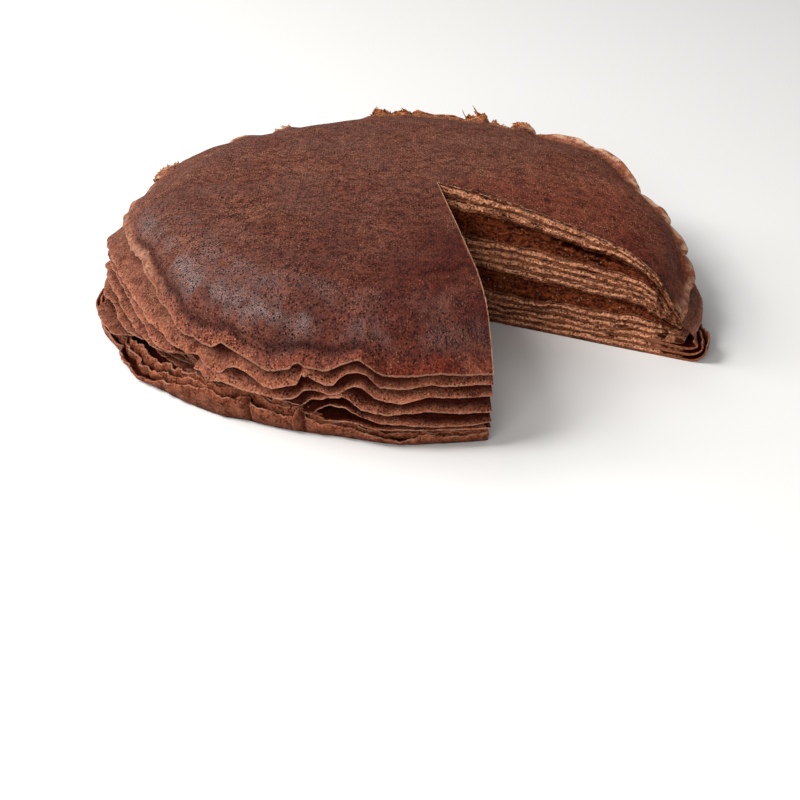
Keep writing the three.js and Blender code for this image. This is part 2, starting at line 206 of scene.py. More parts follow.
# ---- the free edges ----
# Heights of the free edges at the front left, as azimuth and height.
FRONT_EDGES = {
    14: [(206, 33.3), (208.8, 32.5), (211.1, 32.2), (213, 29.9), (215, 28.9), (216.8, 28.7), (219.1, 27.6),
         (220.8, 25.8), (223.3, 25.1), (226, 25.6), (227.4, 24.2), (230, 24.2), (231.3, 25.9),
         (232.4, 27.4), (234.2, 26.5), (237.9, 25), (240.1, 23.3), (241.8, 22.6), (243.2, 23.3),
         (245.6, 24.9), (246.2, 26.9), (247.5, 27.4), (248, 26.2), (250.1, 26.7), (251.4, 26.1),
         (252.8, 27.2), (254.4, 29.4), (257.4, 32), (259.2, 29.3), (261.2, 26.8), (266, 26.9),
         (270.4, 27.9), (274.6, 27.1), (279.3, 27)],
    12: [(206.4, 23.5), (209.3, 23), (212.9, 21.4), (217.8, 21.2), (220.9, 20.1), (225, 20.2),
         (226.2, 19.4), (227.4, 21), (228.1, 20.4), (229.5, 18), (231.2, 16.9), (232.9, 17.5), (234, 19.8),
         (235.8, 21.6), (238, 20.9), (239.5, 19.3), (241.2, 17.4), (242.9, 17.4), (245.5, 19.3),
         (247.2, 20.6), (247.9, 24.6), (248.6, 24.5), (249.9, 22.9), (251.8, 21.7), (253.2, 22),
         (254, 24.3), (255.1, 26.3), (257, 27.2), (258.4, 26.6), (260.6, 22), (265, 22.2), (268.8, 24.1),
         (271.5, 23.5), (276.7, 24), (279.3, 23.5)],
    10: [(204.9, 20.4), (208.1, 19.6), (211, 18.9), (213.8, 17.6), (217.5, 16.8), (221.2, 17.1),
         (222.5, 16.8), (225.4, 13.6), (227, 15.4), (229.5, 16.4), (232.8, 15.5), (236.3, 14.7),
         (241.5, 14.3), (244.1, 13.8), (245.9, 14.4), (247.1, 15.8), (248.2, 18.5), (249.3, 19),
         (251.1, 18.8), (252.6, 18), (254.1, 18.9), (255.4, 21.2), (256.7, 22.3), (257.8, 22.1),
         (260, 18.5), (264, 17.2), (268.5, 20), (272, 19.5), (276, 19.4), (279.3, 19.4)],
    8: [(206, 16), (208.7, 15.3), (212.9, 14.8), (219, 14.6), (224, 13.2), (233, 12.2), (240, 11.4),
        (245, 11), (247.2, 11.6), (248.2, 13.2), (249.3, 15.4), (251.1, 15.9), (252.6, 17.6), (254.8, 18.7),
        (255.9, 17.8), (256.9, 16), (257.8, 14.5), (262, 12.9), (268.3, 14.9), (273, 13.9), (279.3, 13.5)],
    6: [(206, 12.7), (213, 12.6), (225, 11.2), (236, 9.6), (247, 8.4), (249.2, 8.8), (249.9, 10.8),
        (250.9, 12.1), (252.4, 13.9), (253.9, 14.1), (255.2, 14.2), (256.2, 12.9), (257.7, 11.7),
        (261, 10.1), (266, 9.6), (270.2, 9), (276, 8.9), (279.3, 9.8)],
    4: [(206, 9.9), (209, 9.6), (222, 9.6), (232, 8.2), (240, 6.6), (248.9, 6.6), (250.9, 6.5),
        (252.7, 7.3), (254.8, 8.5), (257.6, 8.4), (260, 7.4), (266, 7.6), (272, 7.6), (279.3, 7.6)],
}
# How far out the free edges lie at the left, as azimuth and distance from the round of the base.
LEFT_REACH = {
    14: [(173, -5.2), (181, -5.8), (189.5, -7.3), (196.5, -7.6), (199.1, -7.8), (202.9, -8.3),
         (205.6, -7.1), (208.8, -6.6), (211.1, -6.5), (213, -5.1), (216.8, -4.2), (219.1, -3.2),
         (220.8, -1.7), (223.3, -0.6), (226, -0.6), (230, 0)],
    12: [(173, -3.5), (176.8, -2.2), (178.2, 1.4), (183.7, -0.4), (188.7, -1.6), (195.5, -2.5), (199, -3.2),
         (204.4, -3.1), (209.3, -2.7), (211.2, -2.1), (212.9, -1.4), (217.8, -0.9), (220.9, 0.7),
         (223.2, 1.1), (225.6, 1.6), (226.1, -0.6), (227.2, 1.2), (230, 1.6)],
    10: [(173, 0), (181, 0.3), (186.7, -1.2), (192, -2.5), (196, -3.3), (202, -3.3), (204.9, -2.8),
         (211, -1.8), (213.8, -0.3), (217.5, 1.1), (219.2, 1.6), (221.2, 1.3), (222, -1.5), (223.5, -4),
         (225.8, -4), (227, 2), (230, 3)],
    8: [(173, 0), (180.3, -0.2), (181.7, 1.6), (185, 0), (187.8, 0.1), (191.5, -0.8), (196.8, -1.9),
        (200.3, -1.4), (205.8, -1.1), (208.7, -0.4), (211, -0.7), (214.6, 0.5), (217.9, 0.2), (219.2, -2),
        (221, -6), (224.5, -6.5), (227.5, -3), (236, -2), (245, -1.4), (248, 1), (251, 2.6), (256, 3.7)],
    6: [(173, 0.5), (186, -0.2), (187.3, 1.3), (190.1, 1.2), (192.6, 0.5), (193.6, -0.6), (196.8, -1),
        (200.7, 0.2), (206.4, 0.2), (208.2, -0.5), (209.9, -1.7), (211.5, -6), (214, -7.5), (219, -7),
        (224, -6), (228, -2.6), (236, -2.4), (246, -2.2), (250, 0.5), (254, 2.6), (259, 3.7)],
    4: [(173, 2), (189.8, 1.2), (191.5, 3.7), (194, 4.7), (196.7, 4.8), (199.8, 4.4), (202.8, 3.9),
        (203.8, 3.2), (204.8, -1.5), (206, -5.2), (210, -5.8), (213, -4.2), (224, -2.8), (230, -2),
        (234, -2.4), (237, -3.4), (247, -3.4), (251, -1.4), (255, 1.4), (259, 3.2), (263, 3.9)],
}
LEFT_END = {14: 230, 12: 230, 10: 230, 8: 256, 6: 261, 4: 264}
# Where the torn edge stands up at the back: first and last azimuth, height, how ragged it is.
BACK_TUFTS = [(66, 72, 2.8, 0.2), (72.5, 76.5, 2.4, 0.3), (78, 83, 4.0, 0.5), (83, 94.5, 2.2, 0.2),
              (95.5, 103.3, 3.3, 0.3), (121.6, 123.6, 2.2, 0.4), (124.2, 125.2, 1.4, 0.3),
              (131.1, 135.7, 1.6, 0.15), (149.5, 156, 1.8, 0.2)]
# The thin lip on the right runs between these notches.
LIP_NOTCHES = (-14.0, 3.0, 17.5, 32.5, 49.3, 65.5)
LIP_WIDTH, LIP_LIFT, LIP_REACH = 5.5, 3.3, 1.9
RIM_STEP_IN = 1.9  # outline of a rim crepe inside that of the one below it
SHEET_GAP = 0.62  # least height from the upper face of a drooping crepe to the next
SKIN_GAP = 0.45  # and under the top crepe, besides that
DROOP_POWER = 2.1  # how late on its way out an edge's ruffle begins
LIP_NOTCH_SHARPNESS = 0.45  # the lower, the narrower the notches
FRONT = 204  # azimuth from which the heights of the edges are as in the list
# Stretches of the edge, as first azimuth, rise, last azimuth, fall.
LEFT = (173, 3, 230, 3)  # where the edges fan out
LIP = (-14, 4, 67, 2)  # the thin lip on the right
HIDDEN = (104, 4, 150, 4)  # at the back, where the brim hides the lower edges
BACK_FLAP = (149.5, 1.5, 157.5, 2)  # where the two upper crepes stick out
GROOVE = (186, 14, 263, 12)  # the groove inside the brim, and the painted shade along it
GROOVE_SHADE = (190, 10, 262, 8)
MOIST = (182, 16, 284, 8)  # where the skin's shoulder is moist
PALE_BACK, PALE_LEFT = (66, 2, 160, 8), (158, 4, 214, 8)  # where the edge is a little paler
AZ = np.linspace(CUT_START, CUT_END, 3032)  # about a tenth of a degree


def smooth(values, width):
    """Running average over about width degrees."""
    n = max(1, int(width / (AZ[1] - AZ[0])))
    padded = np.pad(values, n, mode="edge")
    return np.convolve(padded, np.ones(n) / n, "same")[n:-n]


def arc_at(az):
    """Length along the round of the base."""
    return np.radians(az) * BASE_RADIUS


def clean_at(az):
    """0 at the cuts, where the torn edges end cleanly, and 1 from two degrees on."""
    return np.clip(np.minimum(az - CUT_START, CUT_END - az) / 2, 0, 1)


def tuft(az, first, last, soft):
    """1 where a torn bit stands up at the back, with ends softened over soft degrees."""
    return window(az, first - soft / 2, soft, last + soft / 2, soft)


ARC = arc_at(AZ)
OUT = outline(AZ)
ROUND = round_at(AZ)
CLEAN = clean_at(AZ)


def torn(seed, size, height):
    """A torn outline: long waves with small bites, over AZ."""
    waves = rough(ARC / size, 0.5, seed, 3)
    bites = np.clip(rough(ARC / (0.3 * size), 9.5, seed + 3, 2) - 0.25, 0, 1) * 1.6
    return height * (waves - bites)


def lobes():
    """0 at the notches of the thin lip and 1 in the middle of its lobes, over AZ."""
    lobe = np.zeros_like(AZ)
    for first, last in zip(LIP_NOTCHES, LIP_NOTCHES[1:]):
        t = np.clip((AZ - first) / (last - first), 0, 1)
        lobe = np.maximum(lobe, np.sin(np.pi * t) ** LIP_NOTCH_SHARPNESS)
    return lobe


LOBES = lobes()
LIP_SIDE = window(AZ, *LIP)
LEFT_SIDE = window(AZ, *LEFT)
RIGHT_END = ease((1 - AZ) / 9)  # next to the cut that faces the front, crepe 12 hangs over the lower ones


def droop_reach(k):
    """How far out a drooping crepe's edge lies from the round of the base, before it is torn, over AZ."""
    return mix(OUT[LOW], OUT[BRIM], share(k) ** 2)


def outline_reach(k):
    """How far from the apex a crepe's outline lies, over AZ."""
    if k <= RIM_CREPES:
        return ROUND + OUT[RIM] - RIM_STEP_IN * (k - 1)
    turn = np.radians(AZ)
    wave = 0.9 * np.sin(7 * turn + 2.4 * k) + 0.5 * np.sin(13 * turn + 1.7 * k)
    out = droop_reach(k) + OUT[RUFFLE] * 0.6 * wave * (1 - np.maximum(LEFT_SIDE, LIP_SIDE))
    if not is_tucked(k):
        listed = smooth(table(LEFT_REACH[k], AZ), 0.5)
        out = mix(out, listed, window(AZ, LEFT[0], LEFT[1], LEFT_END[k], LEFT[3]))
    if k >= CREPES - 2:
        out = out + 2.6 * window(AZ, *BACK_FLAP)
    out = out + RIGHT_END * (4.6 if k == CREPES - 2 else -3.5 if 4 < k < CREPES - 2 else 0)
    if k == CREPES:
        out = out + LIP_SIDE * LIP_REACH * (LOBES * 1.6 - 0.6)
    ragged = torn(10 + k, 6, 0.45) + (0.2 + 0.3 * LEFT_SIDE) * torn(44 + k, 2.6, 1)
    return ROUND + out + CLEAN * ragged


REACH = {k: outline_reach(k) for k in range(1, CREPES + 1)}


def edge_reach(k):
    """How far from the apex a crepe ends, over AZ."""
    if not is_tucked(k):
        return REACH[k]
    return mix(ROUND - PACKED_INSET, ROUND + droop_reach(k), TUCKED_END + 0.12 * noise(AZ / 9, k, 5))


def base_tops(az, r, k):
    """Height of a drooping crepe's upper face before it is ruffled."""
    packed = packed_reach(az)
    stack = packed_crepes(az, r)
    t = ease((r - packed) / (round_at(az) + outline(az)[BRIM] - packed))
    lowest = stack[RIM_CREPES][1]
    in_stack = (stack[k - 1][1] - lowest) / (stack[CREPES - 1][1] - lowest)
    return mix(mix(lowest, LOW_EDGE_HEIGHT, t), crown(az, r), mix(in_stack, share(k), t))


def edge_lift(k):
    """How far a free edge is lifted or lowered by its ruffles, over AZ."""
    phase = 0.5 * (CREPES - k)
    waves = (0.55 * np.sin(ARC / 2.35 + phase + 2.2 * noise(ARC / 30, 3.5, 7))
             + 0.45 * np.sin(ARC / 3.9 + 0.6 * phase + 2 * noise(ARC / 40, 8.5, 8)))
    waves = waves * (0.75 + 0.5 * noise(ARC / 16, k * 0.35, 9))
    hidden = window(AZ, *HIDDEN)
    calm = np.maximum(0.75 * LIP_SIDE, np.maximum(0.6 * LEFT_SIDE, 0.85 * hidden))
    lift = mix(0.45, 1, share(k)) * (OUT[RUFFLE] * waves * (1 - calm) - 0.8 * hidden)
    if k >= CREPES - 4:
        drop = 1 - 0.22 * (CREPES - k)
        for first, last, height, raggedness in BACK_TUFTS:
            shreds = 1 - raggedness * (0.5 + 0.75 * rough(ARC / 2.4, first + k, 50, 3))
            lift = lift + drop * height * tuft(AZ, first, last, 0.9) * shreds
    if k == CREPES - 2:
        lift = lift - 2.2 * RIGHT_END
    listed = smooth(smooth(table(FRONT_EDGES[k], AZ), 0.5), 0.5)
    frayed = 0.2 * rough(ARC / 2.3, 3.1 * k, 55, 3) + 0.12 * rough(ARC / 0.8, 1.1 * k, 58, 2)
    listed = listed + CLEAN * frayed
    return mix(lift, listed - base_tops(AZ, REACH[k], k), ease((AZ - FRONT) / 4))


LIFTS = {k: edge_lift(k) for k in range(RIM_CREPES + 1, CREPES + 1) if not is_tucked(k)}


def ruffled(az, r, k):
    packed = packed_reach(az)
    t = np.clip((r - packed) / (np.interp(az, AZ, REACH[k]) - packed), 0, 1.4)
    return base_tops(az, r, k) + np.interp(az, AZ, LIFTS[k]) * t**DROOP_POWER


def groove_line(az):
    """How far inside the edge of the top crepe the groove runs."""
    return 3.7 + 1.2 * noise(az / 5, 1.5, 12)


def groove(az, r):
    """The skin flares out again just before its edge, on the left and the front left, and stands up in
    a thin lip on the right."""
    inside = np.interp(az, AZ, REACH[CREPES]) - r
    line = groove_line(az)
    where = window(az, *GROOVE) * (0.7 + 0.5 * noise(az / 7, 2.5, 11))
    flare = where * (0.8 * bump(inside, line + 3.6, 2.2) - 2.3 * bump(inside, line, 1.35))
    lip = np.interp(az, AZ, LIP_SIDE * (0.15 + 0.85 * LOBES)) * (0.85 + 0.3 * noise(az / 4, r / 4, 14))
    raised = LIP_LIFT * ease(1 - inside / LIP_WIDTH) - 1.3 * bump(inside, LIP_WIDTH + 0.3, 1.8)
    return flare + lip * raised


def skin_relief(az, r):
    """Low waves and dents in the top crepe."""
    x = r * np.cos(np.radians(az))
    y = r * np.sin(np.radians(az))
    low = 0.35 * rough(x / 24, y / 24, 13, 2)
    shoulder = ease((r - 60) / 25) * ease((az - 150) / 40)
    dents = -0.9 * shoulder * np.clip(rough(x / 9, y / 9, 15, 2) - 0.12, 0, 1)
    return ease(r / 8) * (low + dents)


def tops(az, r, k):
    """Upper face of crepe k from 4 up, kept under the crepe above it."""
    skin = ruffled(az, r, CREPES) + groove(az, r)
    if k == CREPES:
        return skin + skin_relief(az, r)
    height = skin - SKIN_GAP
    for level in range(CREPES - 2, k - 1, -2):
        height = np.minimum(height - SHEET_GAP, ruffled(az, r, level))
    if is_tucked(k):
        below = np.minimum(height - SHEET_GAP, ruffled(az, r, k - 1))
        return 0.5 * (height + below) - 0.05
    return height


# ---- the rim wall ----
# Heights of the torn top edges of the three rim crepes, as azimuth and height.
RIM_TOPS = {
    1: [(-24, 7.2), (-19, 8.3), (-14, 6.4), (-5, 7.4), (20, 7), (60, 7.6), (110, 7.2), (160, 7.4),
        (184, 6.2), (196, 4.8), (203, 4.2), (209, 3), (213, 1.9), (215, 2), (217.8, 3.8), (220, 5.2),
        (223.9, 7.2), (226.4, 8.2), (228.7, 9.2), (230.2, 10.2), (231.1, 9.5), (233.2, 8.3), (235.4, 8),
        (235.6, 8.7), (236.4, 9.9), (237, 10.1), (237.8, 8.6), (239, 7.3), (241.5, 7.5), (242.8, 6.6),
        (244.2, 6.2), (246, 6.6), (246.6, 9.4), (247, 9.9), (247.4, 6.9), (248.8, 6.1), (250.4, 5),
        (253.1, 5), (255.8, 4.7), (257.3, 3.8), (259.6, 3.4), (262.1, 2.6), (264.5, 2.2), (266.2, 3.1),
        (268.3, 5.2), (269.4, 4.4), (271.9, 3.4), (275.3, 3.6), (279.3, 4.6)],
    2: [(-24, 7.8), (-14, 7.2), (20, 7.6), (110, 7.8), (184, 6.8), (196, 6.8), (203, 7.2), (209, 6.2),
        (213, 5.4), (217, 6.3), (220, 7.6), (224, 9.2), (227.9, 11.3), (229, 10.1), (231, 11.6),
        (231.6, 10.4), (233.2, 12.3), (235.8, 13.2), (237.5, 11.6), (239, 11.3), (240, 10.8), (240.4, 9.6),
        (241.8, 9), (244.3, 9.2), (246.6, 9.8), (247.4, 9.6), (248.2, 8.6), (249, 7.7), (250.6, 6.6),
        (253, 5.9), (255.2, 6.1), (256.8, 5.2), (259.6, 4.2), (264.5, 3.9), (268.3, 5.4), (271.9, 4.4),
        (279.3, 5)],
    3: [(-24, 7.6), (-14, 7.4), (20, 7.8), (110, 7.9), (184, 7.2), (196, 7.6), (203, 8.4), (209, 8.4),
        (213, 8.2), (217, 9), (221, 10), (225, 11.4), (228.5, 11.9), (230, 10.4), (232.4, 11.6),
        (234.5, 13), (236.5, 11.9), (238.5, 11.8), (240.6, 9.6), (242.5, 9.8), (245.5, 9), (248, 9.4),
        (249.5, 7.5), (252, 6.4), (256, 6), (260, 4.6), (264.5, 4.8), (268.3, 5.2), (273, 5), (279.3, 5.6)],
}
# Where the rim wall stands on the plate, as azimuth and distance from the round of the base.
RIM_FOOT = [(-24, 0.6), (-15, -0.6), (-6, -1.6), (180, -1.6), (190, 0.6), (194, 0.9), (197, 0.2), (202, -1),
            (208, 0.2), (212.5, 1.3), (216, 0.1), (228, 0.3), (233, -0.1), (236.5, -2.2), (241, -2.3),
            (249, -2.9), (254, -3.1), (260, -1.8), (266, -0.4), (271, -1.2), (279.3, -1.5)]
# Upright folds pressed into the wall: azimuth, depth, half width.
CREASES = [(237.4, 2.6, 0.45), (247.3, 2.6, 0.45), (226, 1.1, 0.6), (219.5, 0.9, 0.8), (222.4, 0.9, 0.6),
           (234, 0.8, 0.6), (209, 1, 0.8), (203.5, 1, 0.7), (214.5, 0.9, 0.5), (206, 0.6, 0.5),
           (256, 0.7, 0.5), (265.5, 0.6, 0.6), (231, 0.5, 0.5), (243.5, 0.5, 0.4), (251.5, 0.6, 0.4)]
RIM_GAP = 1.25  # from one rim crepe to the next
LYING_THICK = 1.0  # a rim crepe where it lies on the plate


def rim_path(k, az, u):
    """Reach and height of the middle of rim crepe k. u runs from 0 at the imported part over 1 at the
    foot of the wall to 2 at its torn top edge."""
    ring, packed, arc = round_at(az), packed_reach(az), arc_at(az)
    stack = packed_layers(crown(az, packed))[0][k - 1]
    step = k - 1
    w = np.clip(u - 1, 0, 1)
    wobble = 0.35 * noise(arc / 9, 2.7 * k, 20) + 0.2 * noise(arc / 3.1, 1.7 * k, 21)
    wobble = wobble + (0.1 + 0.2 * step) * w * noise(arc / 3.4, 3.7 * k + 4 * u, 51)
    foot = ring + table(RIM_FOOT, az) - RIM_GAP * step + 0.4 * wobble
    bites = np.clip(rough(arc / 2.6, 4.4 * k, 22 + k, 3), -0.3, 1)
    bites = bites + 0.5 * rough(arc / 0.9, 2.2 * k, 52 + k, 2)
    top = table(RIM_TOPS[k], az) - (0.7 + 0.4 * step) * bites * clean_at(az)
    lie = 0.5 + 1.05 * step + 0.25 * step * noise(arc / 12, 5.5, 24) + 1.1 * step * ease((-13 - az) / 8)
    lean = mix(outline(az)[RIM] + 1.0, 2.5, ease((az - 186) / 6)) + wobble - 1.3 * bump(az, -4, 16)
    lean = np.maximum(lean - 0.3 * step, 0.5)
    crushed = bump(az, 208, 9)
    lean = lean + crushed * (1.3 * noise(arc / 3.6, 1.9 * k + 5 * w, 53) - 0.9 * step) * w
    curl = (0.6 + 0.8 * step) * ease((-6 - az) / 10)
    creased = sum(depth * (bump(az, centre, width) - 0.45 * bump(az, centre - 2.4 * width, 1.6 * width))
                  for centre, depth, width in CREASES)
    t = np.clip(u, 0, 1)
    r = mix(packed, foot, t) + lean * (1 - (1 - w) ** 2) - curl * w**3 - creased * ease(w * 2.5) * 0.8
    z = mix(0.5 * (stack[0] + stack[1]), lie, ease(t)) + np.maximum(top - lie, 0.8) * w**1.3
    return r, z


def rim_height(k, az, r, side):
    """Upper face (side 1) or underside (side 0) of rim crepe k where it lies on the plate."""
    packed = packed_reach(az)
    foot = rim_path(k, az, np.ones_like(az + r))[0]
    u = np.clip((r - packed) / (foot - packed), 0, 1)
    return rim_path(k, az, u)[1] + LYING_THICK * (side - 0.5)


# ---- mesh pieces ----
FAR = 99.0  # distance to the edge for points that no free edge is near


def place(az, r, z):
    a = np.radians(az)
    return np.stack(np.broadcast_arrays(APEX[0] + r * np.cos(a), APEX[1] + r * np.sin(a), z), axis=-1)


def outwards(az):
    a = np.radians(az)
    return np.stack([np.cos(a), np.sin(a), 0 * a], axis=-1)


def where_it_lies(points):
    """What the materials need to know of where points lie: azimuth, distance to the nearer cut, how wet
    the skin is, how thin its edge is, and the painted shade along the groove."""
    x, y = points[:, 0] - APEX[0], points[:, 1] - APEX[1]
    az = (np.degrees(np.arctan2(y, x)) - CUT_START) % 360 + CUT_START
    r = np.hypot(x, y)
    gap = np.minimum(np.abs(az - CUT_START), np.abs(CUT_END - az))
    lip = np.where(gap < 90, r * np.sin(np.radians(np.minimum(gap, 90))), FAR)
    inside = np.interp(az, AZ, REACH[CREPES]) - r
    shoulder = (bump(inside, 8, 3.4) + 0.5 * bump(inside, 18, 6)) * window(az, *MOIST)
    shoulder = shoulder * mix(1, 0.45, ease((az - 240) / 16))
    middle = 0.25 * bump(az, 225, 22) * bump(r, 84, 9)
    thin = mix(0.4, 1, ease((az + 2) / 10)) * ease((67 - az) / 2) + 0.15 * window(az, *PALE_BACK)
    thin = np.maximum(thin, 0.15 * window(az, *PALE_LEFT))
    for first, last, _, _ in BACK_TUFTS:
        thin = np.maximum(thin, tuft(az, first, last, 0.8))
    # A line of painted shade along the groove.
    groove_shade = window(az, *GROOVE_SHADE) * bump(inside, groove_line(az) + 0.2, 0.8)
    return {"azimuth": az, "lip": lip, "wet": np.maximum(shoulder, middle), "thin": thin, "groove_shade": groove_shade}


class Piece:
    """Collects grids of points into one mesh, with what the materials need to know about each point:
    edge, the distance to the free edge; cut, 1 on the cuts; along, the distance from the apex on them;
    and deep, from 0 in the open to 1 deep between the edges, which the materials darken as painted shade."""

    def __init__(self, name):
        self.name = name
        self.points, self.faces = [], []
        self.values = {"edge": [], "cut": [], "along": [], "deep": []}
        self.count = 0

    def grid(self, points, flip=False, edge=FAR, cut=0.0, along=0.0, deep=0.0):
        rows, cols = points.shape[:2]
        ids = self.count + np.arange(rows * cols).reshape(rows, cols)
        quads = np.stack([ids[:-1, :-1], ids[1:, :-1], ids[1:, 1:], ids[:-1, 1:]], axis=-1).reshape(-1, 4)
        self.faces.append(quads[:, ::-1] if flip else quads)
        self.add_points(points.reshape(-1, 3), (rows, cols), edge, cut, along, deep)

    def add_points(self, points, shape, edge, cut, along, deep):
        self.points.append(points)
        for key, value in (("edge", edge), ("cut", cut), ("along", along), ("deep", deep)):
            self.values[key].append(np.broadcast_to(np.asarray(value, float), shape).reshape(-1))
        self.count += len(points)

    def rings(self, rings, edges, flip=False):
        """Rings of points from the apex outwards, each with the steps of the one inside or twice as many."""
        start = self.count
        self.add_points(rings[0][:1], (1,), edges[0][:1], 0, 0, 0)
        starts = []
        for ring, edge in zip(rings[1:], edges[1:]):
            starts.append(self.count)
            self.add_points(ring, (len(ring),), edge, 0, 0, 0)
        tris = []
        first = starts[0] + np.arange(len(rings[1]) - 1)
        tris.append(np.stack([np.full_like(first, start), first, first + 1, first + 1], axis=-1))
        for n in range(1, len(starts)):
            inner_steps, outer_steps = len(rings[n]) - 1, len(rings[n + 1]) - 1
            twice = outer_steps // inner_steps
            i = np.arange(inner_steps)
            inner, outer = starts[n - 1] + i, starts[n] + i * twice
            if twice == 1:
                tris.append(np.stack([inner, outer, outer + 1, inner + 1], axis=-1))
            else:
                tris.append(np.stack([inner, outer, outer + 1, outer + 1], axis=-1))
                tris.append(np.stack([inner, outer + 1, outer + 2, inner + 1], axis=-1))
        faces = np.concatenate(tris)
        self.faces.append(faces[:, ::-1] if flip else faces)

    def build(self, material, nodes):
        faces = np.concatenate(self.faces)
        lists = [tuple(dict.fromkeys(face)) for face in faces.tolist()]
        mesh = bpy.data.meshes.new(self.name)
        mesh.from_pydata((np.concatenate(self.points) * MM).tolist(), [], lists)
        mesh.polygons.foreach_set("use_smooth", np.ones(len(mesh.polygons), dtype=bool))
        points = np.concatenate(self.points)
        values = {key: np.concatenate(parts) for key, parts in self.values.items()}
        values.update(where_it_lies(points))
        for key, value in values.items():
            attribute = mesh.attributes.new(key, "FLOAT", "POINT")
            attribute.data.foreach_set("value", value.astype(np.float32))
        mesh.materials.append(material)
        mesh.update()
        piece = bpy.data.objects.new(self.name, mesh)
        bpy.context.scene.collection.objects.link(piece)
        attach(piece, "root")
        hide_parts(*nodes)
        return piece


DENSER, DENSEST = 0.4, 0.81


def azimuths(steps):
    """Steps round the cake, closer together at the ruffled front left."""
    way = np.linspace(0, 1, steps + 1)
    swing = np.sin(2 * np.pi * (way - DENSEST)) + np.sin(2 * np.pi * DENSEST)
    return mix(CUT_START, CUT_END, way - DENSER * swing / (2 * np.pi))


def layer(kind, index):
    """Underside and top of a packed layer for a height of the crown. kind is 0 for crepes, 1 for creams
    and 2 for fillings."""
    return lambda top: packed_layers(top)[kind][index]


def packed_slab(piece, faces, sides=(1, 0)):
    """Top and underside of a layer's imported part, hidden but for their ends at the cuts."""
    az = azimuths(60)
    for side in sides:
        radii = [packed_reach(az) * part for part in (0, 0.25, 0.5, 0.75, 1.0)]
        rings = [place(az, r, faces(crown(az, r))[side]) for r in radii]
        piece.rings(rings, [np.full(len(az), FAR)] * len(rings), flip=side == 0)


def round_edge(piece, top, bottom, way, bulge):
    """Closes a free edge from top to bottom with a face rounded out in the direction way."""
    rows = [mix(top, bottom, s) + way * (bulge * math.sqrt(max(0.0, 1 - (2 * s - 1) ** 2)))
            for s in np.linspace(0, 1, 5)]
    piece.grid(np.stack(rows), edge=0.0)


# ---- cut faces ----
CELL = 0.34  # size of the cells of the cut faces
MOST_OUT = 0.3  # that a cut face stands out of its plane
# Holes in the cut that faces the front: distance from the apex, height, half sizes, depth.
HOLES = [(27, 41.2, 2.2, 0.8, 1.6), (40, 39.4, 1.6, 0.8, 1.8), (46, 36.9, 1.8, 0.8, 3.0),
         (51.5, 35.6, 2.2, 1.3, 4.6), (55, 35.4, 2.4, 1.5, 5.4), (59.5, 35.0, 2.2, 1.2, 4.6),
         (63.8, 34.3, 2.2, 1.5, 5.4), (68.2, 33.2, 2.2, 1.2, 5.0), (73.5, 32.0, 2.6, 0.6, 3.6),
         (32, 38.8, 1.6, 0.6, 2.0), (62, 31.6, 2.0, 0.5, 1.6), (59, 24.4, 3.2, 0.4, 1.8),
         (79.5, 21, 2.2, 0.5, 1.6), (87.1, 22.3, 0.8, 1.4, 2.4), (89.1, 7.8, 1.4, 1.0, 2.4),
         (91.5, 2, 2.2, 0.7, 2.2), (74, 9.2, 2.2, 0.45, 1.4), (33, 30.5, 1.4, 0.4, 1.2),
         (22, 17.5, 1.6, 0.5, 1.2), (49, 12.5, 2.4, 0.4, 1.3), (66, 16.5, 1.8, 0.4, 1.3),
         (44, 27.5, 2.2, 0.4, 1.2), (70, 4.2, 2.0, 0.5, 1.2)]


def sag(az, r, z):
    """The layers of the stack aren't quite even: how far they are moved up at a cut."""
    top = crown(az, r)
    inside = ease((packed_reach(az) - 2 - r) / 6)
    hold = ease(z / 4) * ease((top - z) / 3.5) * inside
    return hold * (0.8 * noise(r / 10, z / 7, 60) + 0.4 * noise(r / 3.6, z / 3, 61)
                   + 0.14 * noise(r / 1.5, z / 1.5, 62))


def cut_depth(side, kind, index, r, part, z, level):
    """How far a cut face stands out (positive) or lies back (negative) from the plane of the cut. level
    is the height in the even stack, before it sags."""
    seed = 25 + 2 * index + (0 if side == "start" else 17)
    smear = 0.3 * noise(r / 7, z / 2.5, 26) + 0.16 * noise(r / 2.6, z / 1.0, 27)
    grain = 0.3 * noise(r / 1.0, z / 0.6, 28) + 0.22 * noise(r / 0.5, z / 0.42, 29)
    crumbs = np.clip(noise(r / 1.5, z / 0.8, seed) - 0.4, 0, 1)
    if kind == "filling":
        upper = ease((part - 0.4) / 0.3) * ease((r - 20) / 15) * (1 if index == 1 else 0.3)
        hollow = np.clip(rough(r / 3.2, z / 1.4, seed + 1, 2) + 0.15, 0, 1)
        back = np.clip(noise(r / 5, z / 3, seed) - 0.3, 0, 1)
        depth = -0.5 + smear + 1.3 * grain - 2.6 * upper * hollow - 0.7 * back
    elif kind == "cream":
        back = np.clip(noise(r / 8, index * 1.9, seed) - 0.1, 0, 1)
        cracked = ease((noise(r / 5, index * 3.3 + 0.5, seed + 5) - 0.1) * 4)
        crack = cracked * bump(part, 0.9, 0.2)
        depth = -0.1 - 0.7 * back - 1.8 * crack + smear + 1.4 * grain + 0.6 * crumbs
    else:
        back = np.clip(noise(r / 10, index * 1.3 + 7, seed + 2), 0, 1)
        cracked = ease((noise(r / 6, index * 3.3 + 0.5, seed + 5) + 0.35) * 3)
        crack = cracked * (bump(part, 0.05, 0.16) + bump(part, 0.95, 0.16))
        depth = -0.1 - 0.4 * back - 1.1 * crack + smear + 1.1 * grain + 0.3 * crumbs
    if side == "start":
        for centre, height, wide, tall, deep in HOLES:
            far = ((r - centre) / wide) ** 2 + ((level - height) / tall) ** 2
            far = far + 0.5 * noise(r / 0.9, z / 0.6, 63)
            depth = depth - deep * np.clip(1.3 - far, 0, 1) ** 0.6
    return depth


